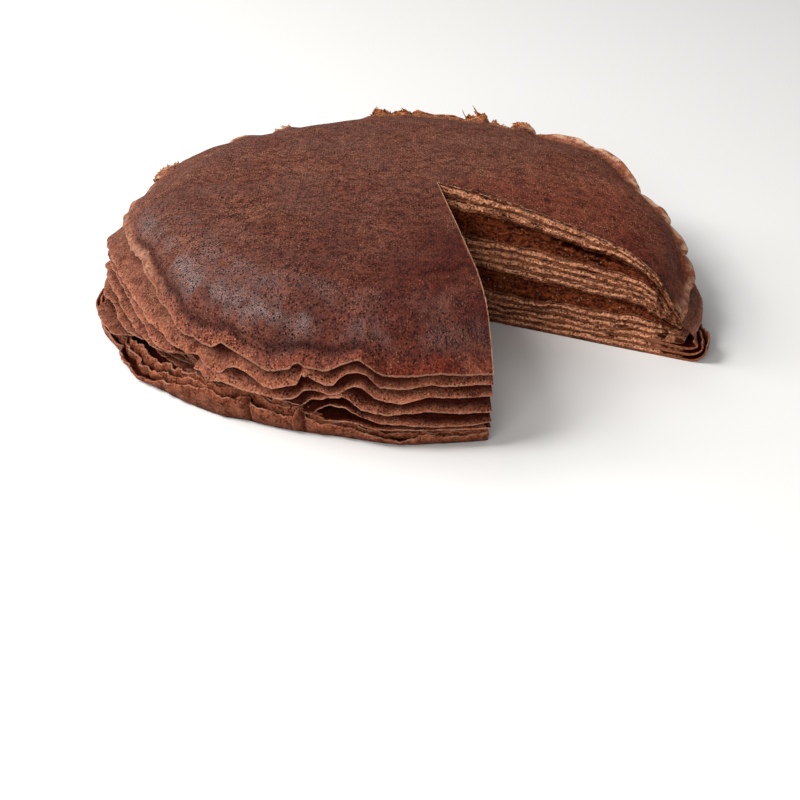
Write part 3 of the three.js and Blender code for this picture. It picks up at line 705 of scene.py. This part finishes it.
def cut_wall(piece, side, kind, index, lo, hi, end, edge_of=None, gap_shade_from=None):
    """The cut through one layer from the apex to end. lo and hi give its heights at any distance."""
    az = CUT_START if side == "start" else CUT_END
    cols = max(8, int(end / CELL))
    r = np.linspace(0.0, end, cols + 1)
    low, high = lo(r), hi(r)
    rows = int(np.clip(np.max(high - low) / CELL, 5, 60))
    part = np.linspace(0, 1, rows + 1)[:, None]
    level = mix(low, high, part)
    z = level + sag(az, r, level)
    depth = np.minimum(cut_depth(side, kind, index, r[None], part, z, level), MOST_OUT) * ease(r / 3)
    z = np.concatenate([z[:1], z, z[-1:]])
    depth = np.concatenate([np.zeros((1, cols + 1)), depth, np.zeros((1, cols + 1))])
    a = math.radians(az)
    outward = np.array([math.sin(a), -math.cos(a), 0.0]) * (1 if side == "start" else -1)
    points = place(az, r, z) + depth[..., None] * outward
    edge = FAR if edge_of is None else edge_of - r
    # deep is painted shade where the face lies back, in its cracks, pits and holes.
    deep = np.clip(-0.1 - depth / 2.0, 0, 1)
    # Painted shade, too, from where the layer runs out between the drooping crepes.
    if gap_shade_from is not None:
        squeezed = 0.4 + 0.4 * noise(r / 1.3, z / 2.4, 64)
        start = gap_shade_from + 5 * ease((16 - z) / 12)
        start = start + 2.4 * noise(z / 2.1, 3.5, 66) + 1.2 * noise(z / 0.8, 7.5, 67)
        deep = np.clip(deep + squeezed * ease((r - start) / 3.5), 0, 1)
    piece.grid(points, flip=side == "start", edge=edge, cut=1.0, along=r, deep=deep)


# ---- materials ----
class Nodes:
    """A short way to write a material's node tree."""

    def __init__(self, name):
        self.material = bpy.data.materials.new(name)
        self.material.use_nodes = True
        self.tree = self.material.node_tree
        self.tree.nodes.clear()
        self.out = self.tree.nodes.new("ShaderNodeOutputMaterial")
        self.coord = self.tree.nodes.new("ShaderNodeTexCoord").outputs["Object"]

    def plug(self, socket, value):
        if isinstance(value, bpy.types.NodeSocket):
            self.tree.links.new(value, socket)
        else:
            socket.default_value = value

    def node(self, kind, inputs=None, **settings):
        n = self.tree.nodes.new(kind)
        for key, value in settings.items():
            setattr(n, key, value)
        for key, value in (inputs or {}).items():
            self.plug(n.inputs[key], value)
        return n

    def noise(self, scale, detail=3.0, rough=0.5, vector=None, distortion=0.0):
        inputs = {"Vector": vector or self.coord, "Scale": scale, "Detail": detail, "Roughness": rough,
                  "Distortion": distortion}
        return self.node("ShaderNodeTexNoise", inputs).outputs["Fac"]

    def attribute(self, name):
        return self.node("ShaderNodeAttribute", attribute_name=name).outputs["Fac"]

    def axis(self, index):
        """X, Y or Z, in metres."""
        return self.node("ShaderNodeSeparateXYZ", {"Vector": self.coord}).outputs[index]

    def ramp(self, value, *stops):
        """Maps a value through stops of (position, number or colour)."""
        n = self.node("ShaderNodeValToRGB", {"Fac": value})
        elements = n.color_ramp.elements
        while len(elements) < len(stops):
            elements.new(0.5)
        for element, (position, colour) in zip(elements, stops):
            element.position = position
            element.color = (colour, colour, colour, 1) if isinstance(colour, (int, float)) else (*colour, 1)
        return n.outputs["Color"]

    def rise(self, value, low, high):
        """0 up to low and 1 from high on."""
        return self.ramp(value, (low, 0.0), (high, 1.0))

    def fall(self, value, low, high):
        """1 up to low and 0 from high on."""
        return self.ramp(value, (low, 1.0), (high, 0.0))

    def math(self, operation, *values, clamp=False):
        n = self.node("ShaderNodeMath", operation=operation, use_clamp=clamp)
        for socket, value in zip(n.inputs, values):
            self.plug(socket, value)
        return n.outputs[0]

    def times(self, a, b):
        return self.math("MULTIPLY", a, b)

    def plus(self, a, b):
        return self.math("ADD", a, b)

    def minus(self, a, b, clamp=False):
        return self.math("SUBTRACT", a, b, clamp=clamp)

    def line(self, value, slope, start, clamp=False):
        """start plus slope times value."""
        return self.math("MULTIPLY_ADD", value, slope, start, clamp=clamp)

    def blend(self, a, b, factor, how="MIX"):
        n = self.node("ShaderNodeMix", data_type="RGBA", blend_type=how)
        for index, value in ((0, factor), (6, a), (7, b)):
            self.plug(n.inputs[index], (*value, 1) if isinstance(value, tuple) else value)
        return n.outputs[2]

    def tint(self, colour, by, factor):
        """colour, multiplied by another one as far as factor says."""
        return self.blend(colour, self.blend(colour, by, 1.0, "MULTIPLY"), factor)

    def finish(self, colour, roughness, heights, glow=None, glow_colour=(0.4, 0.12, 0.04), coat=None,
               specular=0.5):
        """heights is a list of (value, distance in metres, strength). coat is (weight, roughness)."""
        normal = None
        for value, distance, strength in heights:
            inputs = {"Height": value, "Distance": distance, "Strength": strength}
            if normal is not None:
                inputs["Normal"] = normal
            normal = self.node("ShaderNodeBump", inputs).outputs["Normal"]
        inputs = {"Base Color": colour, "Roughness": roughness, "Normal": normal,
                  "Specular IOR Level": specular, "IOR": 1.45}
        if coat is not None:
            inputs |= {"Coat Weight": coat[0], "Coat Roughness": coat[1], "Coat Normal": normal,
                       "Coat IOR": 1.65}
        result = self.node("ShaderNodeBsdfPrincipled", inputs).outputs[0]
        if glow is not None:
            through = self.node("ShaderNodeBsdfTranslucent", {"Color": (*glow_colour, 1), "Normal": normal})
            result = self.node("ShaderNodeMixShader", {0: glow, 1: result, 2: through.outputs[0]}).outputs[0]
        self.tree.links.new(result, self.out.inputs["Surface"])
        return self.material


def spots(n, scale, share_of_cells, core, rim, vector=None):
    """Small round spots in some of the cells of a random pattern: 1 in a spot and 0 between them."""
    cells = n.node("ShaderNodeTexVoronoi", {"Vector": vector or n.coord, "Scale": scale}).outputs
    channel = n.node("ShaderNodeSeparateColor", {"Color": cells["Color"]}).outputs[0]
    picked = n.rise(channel, 1 - share_of_cells - 0.02, 1 - share_of_cells + 0.02)
    return n.times(n.fall(cells["Distance"], core, rim), picked)


def cut_vector(n):
    """Coordinates that follow the layers in the cuts: along them, and up with the height."""
    along = n.line(n.attribute("along"), 0.00045, n.times(n.attribute("azimuth"), 0.0008))
    return n.node("ShaderNodeCombineXYZ", {0: along, 2: n.times(n.axis(2), 1.3)}).outputs[0]


def crumb(n, follow, streak_scale, grain_scale):
    """Tone of a cut face: fine grain, with streaks that follow the layers."""
    streak = n.noise(streak_scale, 4, 0.65, follow)
    grain = n.noise(grain_scale, 3, 0.7)
    return n.plus(n.times(streak, 0.3), n.times(grain, 0.7))


def raised(n, tone, specks, pores, depth):
    """Relief with the specks up and the pores down."""
    return n.minus(n.plus(tone, n.times(specks, 0.4)), n.times(pores, depth))


def baked(n, dark, warm, pores_at, specks_at):
    """Baked crepe, with pores and light specks, the specks being painted sparkle highlights. Returns its
    colour, relief, fine grain and pores.
    """
    wander = n.node("ShaderNodeTexNoise", {"Vector": n.coord, "Scale": 500.0}).outputs["Color"]
    wander = n.node("ShaderNodeVectorMath", {0: wander, 1: (0.0008, 0.0008, 0.0008)}, operation="MULTIPLY")
    warped = n.node("ShaderNodeVectorMath", {0: n.coord, 1: wander.outputs[0]}, operation="ADD").outputs[0]
    pores = n.times(spots(n, 980, 0.6, 0.2, 0.38, warped), pores_at)
    specks = n.times(spots(n, 1150, 0.4, 0.17, 0.44, warped), specks_at)
    fine = n.noise(1300, 3, 0.65)
    tone = n.plus(n.times(n.noise(300, 4, 0.65), 0.45), n.times(fine, 0.55))
    colour = n.blend(dark, warm, n.rise(tone, 0.41, 0.6))
    colour = n.blend(colour, (0.58, 0.3, 0.18), n.times(specks, 0.85))
    colour = n.blend(colour, (0.01, 0.0015, 0.0008), pores)
    return colour, raised(n, tone, specks, pores, 0.9), fine, pores


def top_skin():
    n = Nodes("top_skin")
    x, y, azimuth = n.axis(0), n.axis(1), n.attribute("azimuth")
    edge, wet_side, groove_shade, thin_side = (n.attribute(name) for name in ("edge", "wet", "groove_shade", "thin"))
    # Pores are closest on the left, and the skin is smooth at the front right.
    open_pores = n.ramp(n.noise(90, 3), (0.3, 0.5), (0.5, 1.0))
    left = n.line(n.line(x, -10.0, 0.6, clamp=True), 0.95, 0.1, clamp=True)
    specks_at = n.ramp(n.noise(110, 2), (0.3, 0.55), (0.6, 1.0))
    colour, relief, fine, pores = baked(n, (0.054, 0.0105, 0.0055), (0.24, 0.086, 0.052),
                                        n.times(open_pores, left), specks_at)
    patchy = n.rise(n.noise(60, 4, 0.55), 0.42, 0.62)
    colour = n.tint(colour, (0.72, 0.5, 0.45), n.times(patchy, 0.45))
    # Mauve-grey patches on the left are painted sheen.
    mauve_sheen = n.times(n.rise(n.noise(48, 3, 0.55), 0.46, 0.62), 0.3)
    colour = n.blend(colour, (0.1, 0.046, 0.04), n.times(mauve_sheen, n.line(x, -12.0, 0.9, clamp=True)))
    # The front is redder, and darker partly as painted shade.
    front = n.times(n.line(y, -11.0, 0.2, clamp=True), n.line(x, 9.0, 0.8, clamp=True))
    front = n.times(front, n.ramp(n.noise(42, 4, 0.6), (0.36, 0.55), (0.52, 1.0)))
    colour = n.tint(colour, (0.42, 0.16, 0.13), front)
    colour = n.tint(colour, (1.2, 0.98, 0.88), n.line(azimuth, -0.03, 1.5, clamp=True))
    near = n.fall(n.line(edge, 0.12, n.times(n.noise(170, 3), 0.5)), 0.3, 0.72)
    colour = n.tint(colour, (1.6, 1.5, 1.35), near)
    # The thin lip on the right is reddish, with a pale rim, partly its own colour and partly painted light
    # shining through it; the torn bits at the back are golden, with painted glints.
    at_back = n.times(n.line(azimuth, 0.25, -16.5, clamp=True), n.line(azimuth, -0.25, 29.5, clamp=True))
    band = n.times(n.fall(n.line(n.noise(120, 2), 0.3, n.times(edge, 0.095)), 0.3, 0.75), thin_side)
    crumbs = n.rise(n.noise(520, 4, 0.65), 0.43, 0.58)
    reddish = n.blend((0.2, 0.058, 0.03), (0.4, 0.15, 0.085), crumbs)
    golden = n.blend((0.13, 0.026, 0.006), (0.72, 0.27, 0.1), crumbs)
    colour = n.blend(colour, reddish, n.times(band, n.line(at_back, -0.85, 0.85)))
    inwards = n.times(edge, n.line(at_back, -0.11, 0.16))
    thin = n.times(n.fall(n.line(n.noise(200, 3), 0.4, inwards), 0.36, 0.68), thin_side)
    pale = n.blend((0.46, 0.17, 0.09), (1.0, 0.68, 0.46), n.rise(n.noise(260, 4), 0.42, 0.56))
    colour = n.blend(colour, n.blend(pale, golden, at_back), n.times(thin, 0.92))
    glints = n.times(spots(n, 1100, 0.4, 0.2, 0.45), n.times(thin, at_back))
    colour = n.blend(colour, (1.0, 0.78, 0.45), glints)
    colour = n.blend(colour, (0.33, 0.16, 0.1), n.ramp(n.times(edge, 0.5), (0.02, 0.6), (0.12, 0.0)))
    colour = n.blend(colour, (0.13, 0.032, 0.014), n.times(n.attribute("cut"), 0.7))
    at_cut = n.ramp(n.times(n.attribute("lip"), 0.5), (0.05, 0.85), (0.2, 0.0))
    colour = n.blend(colour, (0.5, 0.27, 0.17), at_cut)
    # Moist patches on the shoulder are darker and glossier, and the groove is a dark line of painted shade.
    patches = n.ramp(n.noise(66, 4, 0.55, distortion=0.3), (0.43, 0.1), (0.58, 1.0))
    blotches = n.rise(n.noise(75, 3, 0.6), 0.44, 0.6)
    sheen = n.times(wet_side, patches)
    colour = n.tint(colour, (0.76, 0.62, 0.58), sheen)
    colour = n.tint(colour, (0.4, 0.22, 0.18), n.times(n.times(wet_side, blotches), n.minus(1.0, patches)))
    colour = n.tint(colour, (0.24, 0.13, 0.11), n.times(groove_shade, 0.9))
    dry = n.minus(n.minus(1.0, pores), groove_shade, clamp=True)
    roughness = n.plus(n.line(sheen, -0.3, 0.66), n.times(fine, 0.1))
    swell, lumps = n.noise(60, 2, 0.5), n.noise(150, 3, 0.5)
    return n.finish(colour, roughness, [(swell, 0.0024, 0.5), (lumps, 0.0016, 0.5), (relief, 0.001, 1.0)],
                    glow=n.line(thin, 0.4, 0.04), glow_colour=(0.85, 0.42, 0.24),
                    coat=(n.times(n.times(sheen, 0.85), dry), 0.24), specular=0.1)


DEEP = (0.034, 0.0022, 0.0003)  # what shows between the edges, where light only comes through the crepes


def crepe_skin(name, dark, warm, pores_share, specks_share=1.0, foot=0.0):
    """foot is the height up to which the crepe is darkened as painted shade, in millimetres."""
    n = Nodes(name)
    edge, cut, deep = (n.attribute(name) for name in ("edge", "cut", "deep"))
    pores_at = n.times(n.ramp(n.noise(110, 3), (0.38, 0.1), (0.6, 1.0)), pores_share)
    specks_at = n.times(n.ramp(n.noise(130, 2), (0.35, 0.3), (0.6, 1.0)), specks_share)
    colour, relief, fine, _ = baked(n, dark, warm, pores_at, specks_at)
    near = n.fall(n.line(edge, 0.2, n.times(n.noise(190, 3), 0.4)), 0.2, 0.6)
    colour = n.tint(colour, (1.5, 1.4, 1.25), near)
    if foot:
        # Painted shade at the foot of the wall.
        low = n.fall(n.line(n.axis(2), 500 / foot, n.times(n.noise(160, 3), 0.4)), 0.25, 0.7)
        colour = n.tint(colour, (0.42, 0.34, 0.3), low)
    thin = n.times(n.fall(n.times(edge, 0.5), 0.1, 0.7), n.attribute("thin"))
    pale = n.blend((0.36, 0.14, 0.085), (0.7, 0.42, 0.32), n.rise(n.noise(260, 4), 0.4, 0.6))
    colour = n.blend(colour, pale, n.times(thin, 0.6))
    line = n.times(n.fall(n.times(edge, 0.5), 0.02, 0.1), n.ramp(n.noise(230, 2), (0.4, 0.15), (0.6, 0.75)))
    colour = n.blend(colour, (0.42, 0.22, 0.15), line)
    follow = cut_vector(n)
    tone = crumb(n, follow, 620, 1500)
    inside = n.blend((0.07, 0.01, 0.0014), (0.39, 0.14, 0.067), n.rise(tone, 0.4, 0.6))
    patch = n.times(n.rise(n.noise(100, 3, 0.5, follow), 0.48, 0.62), 0.45)
    colour = n.blend(colour, n.blend(inside, (0.5, 0.2, 0.1), patch), cut)
    # Painted shade deep between the edges, and in the recesses and gaps of the cuts.
    gloom = n.blend((0.02, 0.002, 0.0003), DEEP, n.rise(tone, 0.42, 0.58))
    colour = n.blend(colour, n.blend(DEEP, gloom, cut), n.times(n.rise(deep, 0.0, 0.85), 0.95))
    relief = n.line(cut, n.times(tone, 0.7), relief)
    crinkle = n.noise(210, 3, 0.55)
    return n.finish(colour, n.line(fine, 0.14, 0.5), [(crinkle, 0.0014, 0.7), (relief, 0.0009, 1.0)],
                    glow=n.line(deep, -0.2, 0.22, clamp=True), glow_colour=(0.62, 0.16, 0.04), specular=0.09)


def cream():
    n = Nodes("cream")
    follow = cut_vector(n)
    tone = crumb(n, follow, 600, 1300)
    patch = n.times(n.rise(n.noise(110, 3, 0.5, follow), 0.5, 0.64), 0.6)
    colour = n.blend((0.15, 0.028, 0.004), (0.83, 0.375, 0.205), n.rise(tone, 0.4, 0.54))
    colour = n.tint(colour, (0.6, 0.44, 0.38), patch)
    specks = spots(n, 1050, 0.4, 0.16, 0.42)
    pores = spots(n, 850, 0.36, 0.18, 0.36)
    colour = n.blend(colour, (0.9, 0.58, 0.38), n.times(specks, 0.85))
    colour = n.blend(colour, (0.03, 0.004, 0.001), n.times(pores, 0.8))
    # Painted shade in the cracks and pits of the cut and where it runs out between the crepes.
    deep = n.rise(n.attribute("deep"), 0.05, 0.55)
    colour = n.blend(colour, (0.05, 0.007, 0.0012), n.times(deep, 0.95))
    relief = raised(n, tone, specks, pores, 0.8)
    return n.finish(colour, 0.66, [(relief, 0.0013, 1.0)], glow=0.05, specular=0.04)


def filling():
    n = Nodes("filling")
    streak = n.noise(420, 4, 0.65, cut_vector(n))
    grain = n.noise(1000, 3, 0.7)
    lumps = n.noise(330, 4, 0.65, distortion=0.5)
    tone = n.plus(n.times(n.plus(streak, lumps), 0.28), n.times(grain, 0.44))
    colour = n.blend((0.024, 0.002, 0.0002), (0.165, 0.036, 0.01), n.rise(tone, 0.44, 0.57))
    # The light specks of the filling are painted glints.
    specks = n.times(spots(n, 900, 0.34, 0.14, 0.4), n.rise(n.noise(120, 3), 0.46, 0.56))
    colour = n.blend(colour, (0.6, 0.33, 0.19), n.times(specks, 0.75))
    # Painted shade in the hollows of the cut and where it runs out between the crepes.
    deep = n.rise(n.attribute("deep"), 0.3, 1.0)
    colour = n.blend(colour, (0.02, 0.002, 0.0004), n.times(deep, 0.95))
    relief = n.plus(tone, n.times(specks, 0.4))
    return n.finish(colour, n.line(grain, 0.2, 0.34), [(relief, 0.0016, 1.0)], specular=0.07)


TOP_SKIN, CREAM, FILLING = top_skin(), cream(), filling()
CREPE_SKIN = crepe_skin("crepe", (0.096, 0.022, 0.01), (0.32, 0.118, 0.07), 0.9)
RIM_SKIN = crepe_skin("rim_crepe", (0.066, 0.012, 0.004), (0.31, 0.102, 0.053), 0.35, 0.4, foot=3.2)

# ---- building the crepes ----
STEPS = 720  # round the cake, for the free edges
TUCKED_STEPS, RIM_STEPS, TAIL_STEPS = 360, 864, 360
INNER_STEPS = ((9, 45), (18, 90), (36, 180), (72, 360))  # of the rings of the top crepe up to these radii
TOP_ROWS, SHEET_ROWS, TUCKED_ROWS = 20, 16, 8  # of a drooping part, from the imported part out
OUTER_CLOSER = 0.8  # rows lie closer together towards the edge
CUTS = (("start", CUT_START, 0), ("end", CUT_END, -1))  # azimuth, and which point of a ring lies there


def thickness(az, r, k):
    low, high = packed_crepes(az, r)[k - 1]
    return mix(high - low, EDGE_THICK, ease((r - packed_reach(az)) / 7))


def crepe_height(az, r, k, side):
    """Upper face (side 1) or underside (side 0) of crepe k from 4 up, at any place."""
    inside = packed_crepes(az, r)[k - 1][side]
    if k == CREPES:
        relief = skin_relief(az, r)
        inside = inside + (relief if side else np.minimum(relief, 0))
    droop = tops(az, r, k) - (0 if side else thickness(az, r, k))
    return np.where(r <= packed_reach(az), inside, droop)


def droop_band(piece, k, steps, rows):
    """The drooping part: upper face, underside and the free edge, rounded."""
    az = azimuths(steps)
    packed = packed_reach(az)
    edge = np.interp(az, AZ, edge_reach(k))
    above = np.interp(az, AZ, REACH[min(CREPES, k + 2 - (CREPES - k) % 2)])
    for side, side_rows in ((1, rows), (0, rows // 2)):  # the underside hardly shows
        if side and k == CREPES:
            continue  # the rings of the top crepe reach out to its edge
        out = np.linspace(0, 1, side_rows + 1)[:, None] ** OUTER_CLOSER
        r = packed + (edge - packed) * out
        # Painted shade: the upper face darkens under the crepe above it, and the underside away from its
        # edge.
        shade_from_above = np.clip((above - r + 0.4) / 3.3, 0, 1) ** 1.2
        deep = shade_from_above if side else np.clip((edge - r) / 4.5, 0, 1)
        piece.grid(place(az, r, crepe_height(az, r, k, side)), flip=side == 0, edge=edge - r, deep=deep)
    top, bottom = (place(az, edge, crepe_height(az, edge, k, side)) for side in (1, 0))
    round_edge(piece, top, bottom, outwards(az), 0.3 * EDGE_THICK)


def full_cut(piece, k):
    """The cut through a crepe above the rim wall, from the apex to its free edge."""
    for side, az, _ in CUTS:
        end = float(np.interp(az, AZ, edge_reach(k)))
        lo = lambda r: crepe_height(az, r, k, 0)
        hi = lambda r: crepe_height(az, r, k, 1)
        cut_wall(piece, side, "crepe", k, lo, hi, end, edge_of=end, gap_shade_from=float(packed_reach(az)))


# Crumbly bits that stand up from the edge at the back: first and last azimuth, how many, length, width, how
# much they lean to the left, seen from the front, and how much they differ.
SHARDS = [(77.8, 82.8, 8, 3.2, 1.9, 0.9, 0.3), (80, 84, 24, 1.6, 1.5, 0.4, 0.8),
          (66.5, 77, 60, 1.1, 1.6, 0.1, 0.9), (84, 94.5, 24, 0.7, 1.2, 0, 0.9),
          (94.5, 104, 130, 1.2, 1.7, 0, 0.9), (121.2, 124.8, 30, 1.3, 1.4, -0.2, 0.9),
          (149.5, 157, 44, 1.2, 1.6, -0.3, 0.9), (104, 120, 8, 0.6, 0.9, 0, 0.9),
          (52, 66, 10, 0.7, 1.0, 0, 0.9)]
# The same on the torn edges of the rim crepes: first and last azimuth, how many, length, width.
RIM_BITS = [(221, 258, 120, 0.8, 1.5), (258, 279, 30, 0.7, 1.2), (204, 221, 40, 0.7, 1.4)]


def shard(piece, root, way, length, width):
    """A thin, pointed bit of torn crepe."""
    way = way / np.linalg.norm(way)
    flat = np.cross(way, rng.normal(size=3))
    flat = flat / np.linalg.norm(flat)
    thick = np.cross(way, flat)
    bend = rng.normal(size=3) * 0.25
    rings = []
    for t in np.linspace(0, 1, 5):
        middle = root + way * length * t + bend * length * t * t
        half = 0.5 * width * (1 - t) ** 0.7 * rng.uniform(0.75, 1.25)
        corners = [flat * half, thick * 0.16, -flat * half, -thick * 0.16, flat * half]
        rings.append([middle + corner for corner in corners])
    piece.grid(np.array(rings), edge=0.3)


def shards(piece):
    for first, last, count, length, width, left, stray in SHARDS:
        for _ in range(count):
            az = np.array([rng.uniform(first, last)])
            r = np.interp(az, AZ, REACH[CREPES]) - rng.uniform(-0.1, 1.8)
            root = place(az, r, crepe_height(az, r, CREPES, 1) - 0.3)[0]
            way = outwards(az)[0] * 0.3 + np.array([-left, 0, 1]) + rng.normal(size=3) * stray
            shard(piece, root, way, length * rng.uniform(0.5, 1.15), width * rng.uniform(0.6, 1.3))


def rim_bits(piece, k):
    for first, last, count, length, width in RIM_BITS:
        for _ in range(count):
            az = np.array([rng.uniform(first, last)])
            r, z = rim_path(k, az, np.full(1, 2.0 - rng.uniform(0.0, 0.12)))
            root = place(az, r, z - 0.2)[0]
            way = np.array([0, 0, 0.8]) + rng.normal(size=3) * 0.8
            shard(piece, root, way, length * rng.uniform(0.5, 1.4), width * rng.uniform(0.5, 1.3))


def top_crepe():
    piece = Piece("skin_top")
    rings, edges = [], []
    for out in np.linspace(0, 1, 120) ** OUTER_CLOSER:
        radius = out * 105  # about how far out it is, for the number of steps
        steps = next((steps for limit, steps in INNER_STEPS if radius < limit), STEPS)
        az = azimuths(steps)
        edge = np.interp(az, AZ, REACH[CREPES])
        rings.append(place(az, edge * out, crepe_height(az, edge * out, CREPES, 1)))
        edges.append(edge - edge * out)
    piece.rings(rings, edges)
    droop_band(piece, CREPES, STEPS, TOP_ROWS)
    packed_slab(piece, layer(0, CREPES - 1), sides=(0,))
    full_cut(piece, CREPES)
    shards(piece)
    return piece.build(TOP_SKIN, ["crepe_14"])


def drooping_crepe(k):
    piece = Piece(f"crepe_sheet_{k:02d}")
    packed_slab(piece, layer(0, k - 1))
    if is_tucked(k):
        droop_band(piece, k, TUCKED_STEPS, TUCKED_ROWS)
    else:
        droop_band(piece, k, STEPS, SHEET_ROWS)
    full_cut(piece, k)
    return piece.build(CREPE_SKIN, [f"crepe_{k:02d}"])


def rim_crepe(k):
    """One of the three lowest crepes, which turn up in the rim wall."""
    piece = Piece(f"crepe_sheet_{k:02d}")
    packed_slab(piece, layer(0, k - 1))
    az = azimuths(RIM_STEPS)
    u = np.concatenate([np.linspace(0, 1, 5), np.linspace(1, 2, 13)[1:]])[:, None]
    r, z = rim_path(k, az, u)
    dr, dz = np.gradient(r, axis=0), np.gradient(z, axis=0)
    length = np.hypot(dr, dz) + 1e-9
    half = 0.5 * mix(LYING_THICK, 0.62, ease(u - 0.6))
    upper = place(az, r - dz / length * half, np.maximum(z + dr / length * half, 0.02))
    lower = place(az, r + dz / length * half, np.maximum(z - dr / length * half, 0.0))
    travel = np.cumsum(length, axis=0)
    edge = travel[-1] - travel
    # Painted shade: darker away from the torn top edge and, on the outer face of the lowest crepe, in the
    # creases.
    piece.grid(upper, edge=edge, deep=np.clip((edge - 0.8) / 3, 0, 1))
    crease_shade = sum(0.3 * depth * bump(az, centre, 0.8 * width) for centre, depth, width in CREASES)
    piece.grid(lower, flip=True, edge=edge, deep=np.clip(crease_shade if k == 1 else (edge - 1.6) / 3, 0, 1))
    way = outwards(az) * (dr[-1] / length[-1])[:, None] + np.array([0, 0, 1]) * (dz[-1] / length[-1])[:, None]
    round_edge(piece, upper[-1], lower[-1], way, 0.28)
    for side, cut_az, at in CUTS:
        across = np.linspace(0, 1, 4)[:, None]
        piece.grid(mix(lower[:, at], upper[:, at], across[..., None]), flip=side == "start", cut=1.0,
                   edge=edge[:, at] + 0 * across)
        lo = lambda r: packed_layers(crown(cut_az, r))[0][k - 1][0]
        hi = lambda r: packed_layers(crown(cut_az, r))[0][k - 1][1]
        cut_wall(piece, side, "crepe", k, lo, hi, float(packed_reach(cut_az)))
    rim_bits(piece, k)
    return piece.build(RIM_SKIN, [f"crepe_{k:02d}"])


def tail_length(az, below):
    """How far the soft layer over crepe number below is squeezed out between the drooping crepes."""
    arc = arc_at(az)
    tail = 4.2 + 1.3 * noise(arc / 9, below * 2.3, 70) + 0.6 * noise(arc / 3, below * 1.3, 71)
    return mix(tail, 13.0 if below > RIM_CREPES else 14.5, ease((CUT_START + 14 - az) / 8))


def soft_layer(name, kind, index, faces, below, material, node):
    """A cream or a filling. It ends in a rounded tail in the gap over crepe number below."""
    piece = Piece(name)
    packed_slab(piece, faces)

    def limits(az, r):
        low, high = faces(crown(az, np.minimum(r, packed_reach(az))))
        floor = crepe_height(az, r, below, 1) if below > RIM_CREPES else rim_height(below, az, r, 1)
        roof = crepe_height(az, r, below + 1, 0) if below >= RIM_CREPES else rim_height(below + 1, az, r, 0)
        outside = r > packed_reach(az)
        return np.where(outside, floor, low), np.where(outside, np.maximum(roof, floor + 0.1), high)

    az = azimuths(TAIL_STEPS)
    reach, length = packed_reach(az), tail_length(az, below)
    s = np.linspace(0, 1, 11)[:, None]
    r = reach + length * (1 - (2 * s - 1) ** 4)
    low, high = limits(az, r)
    piece.grid(place(az, r, mix(high, low, s)))
    for side, cut_az, at in CUTS:
        start, far = float(reach[at]), float(length[at])
        taper = lambda r: 0.5 * (1 - np.clip(1 - (r - start) / far, 0, 1) ** 0.25)
        lo = lambda r: mix(*limits(cut_az, r), taper(r))
        hi = lambda r: mix(*limits(cut_az, r), 1 - taper(r))
        cut_wall(piece, side, kind, index, lo, hi, start + far, gap_shade_from=start - 1)
    return piece.build(material, [node])


top_crepe()
for k in range(RIM_CREPES + 1, CREPES):
    drooping_crepe(k)
for k in range(1, RIM_CREPES + 1):
    rim_crepe(k)
BELOW_CREAMS = (1, 2, 3, 4, 5, 7, 8, 9, 10, 12, 13)  # the crepe under each cream, and under each filling
BELOW_FILLINGS = (("lower_filling", 6), ("upper_filling", 11))
for i, below in enumerate(BELOW_CREAMS):
    node = f"cream_{i + 1:02d}"
    soft_layer(f"cream_layer_{i + 1:02d}", "cream", i, layer(1, i), below, CREAM, node)
for i, (node, below) in enumerate(BELOW_FILLINGS):
    soft_layer(node + "_body", "filling", i, layer(2, i), below, FILLING, node)


# ---- floor, light and camera ----
def in_scene(name, data):
    thing = bpy.data.objects.new(name, data)
    bpy.context.scene.collection.objects.link(thing)
    return thing


def floor(half=3.0):
    mesh = bpy.data.meshes.new("floor")
    corners = [(-half, -half, 0), (half, -half, 0), (half, half, 0), (-half, half, 0)]
    mesh.from_pydata(corners, [], [(0, 1, 2, 3)])
    n = Nodes("pale_floor")
    shade = n.noise(3, 2)
    n.finish(n.blend((0.8, 0.795, 0.785), (0.83, 0.825, 0.815), shade), 0.55, [(shade, 0.0001, 0.1)])
    mesh.materials.append(n.material)
    in_scene("floor", mesh)


def softbox(name, place_at, size, power, colour, aim_height=0.03):
    light = bpy.data.lights.new(name, "AREA")
    light.shape = "RECTANGLE"
    light.size, light.size_y = size
    light.energy = power
    light.color = colour
    lamp = in_scene(name, light)
    lamp.location = place_at
    way = Vector((0, 0, aim_height)) - Vector(place_at)
    lamp.rotation_euler = way.to_track_quat("-Z", "Y").to_euler()


floor()
softbox("key", (-0.75, -0.3, 0.95), (0.55, 0.55), 12.5, (1.0, 0.985, 0.97))
softbox("left", (-1.0, 0.22, 0.68), (0.6, 0.5), 7, (1.0, 0.985, 0.97))
softbox("back", (-0.45, 0.85, 0.87), (0.5, 0.5), 3.5, (1.0, 0.99, 0.98))
softbox("front", (-0.2, -1.05, 0.5), (0.6, 0.4), 7, (1.0, 0.98, 0.96), aim_height=0.02)

world = bpy.data.worlds.new("studio")
world.use_nodes = True
world.node_tree.nodes["Background"].inputs["Color"].default_value = (1, 1, 1, 1)
world.node_tree.nodes["Background"].inputs["Strength"].default_value = 0.25
bpy.context.scene.world = world

# The camera stands as the one that took the photo, at these metres from the middle of the cake.
CAMERA_PLACE = (-0.0009, -0.6587, 0.2908)
PITCH, ROLL = math.radians(26.58), math.radians(1.35)
camera_data = bpy.data.cameras.new("camera")
camera_data.lens = 85.5
camera_data.sensor_width = 36
camera_data.clip_start = 0.01
camera = in_scene("camera", camera_data)
back = Vector((0, -math.cos(PITCH), math.sin(PITCH)))
flat_up = Vector((0, math.sin(PITCH), math.cos(PITCH)))
right = math.cos(ROLL) * Vector((1, 0, 0)) + math.sin(ROLL) * flat_up
up = -math.sin(ROLL) * Vector((1, 0, 0)) + math.cos(ROLL) * flat_up
axes = Matrix((right, up, back)).transposed().to_4x4()
camera.matrix_world = Matrix.Translation(CAMERA_PLACE) @ axes
bpy.context.scene.camera = camera
bpy.context.scene.view_settings.view_transform = "Standard"
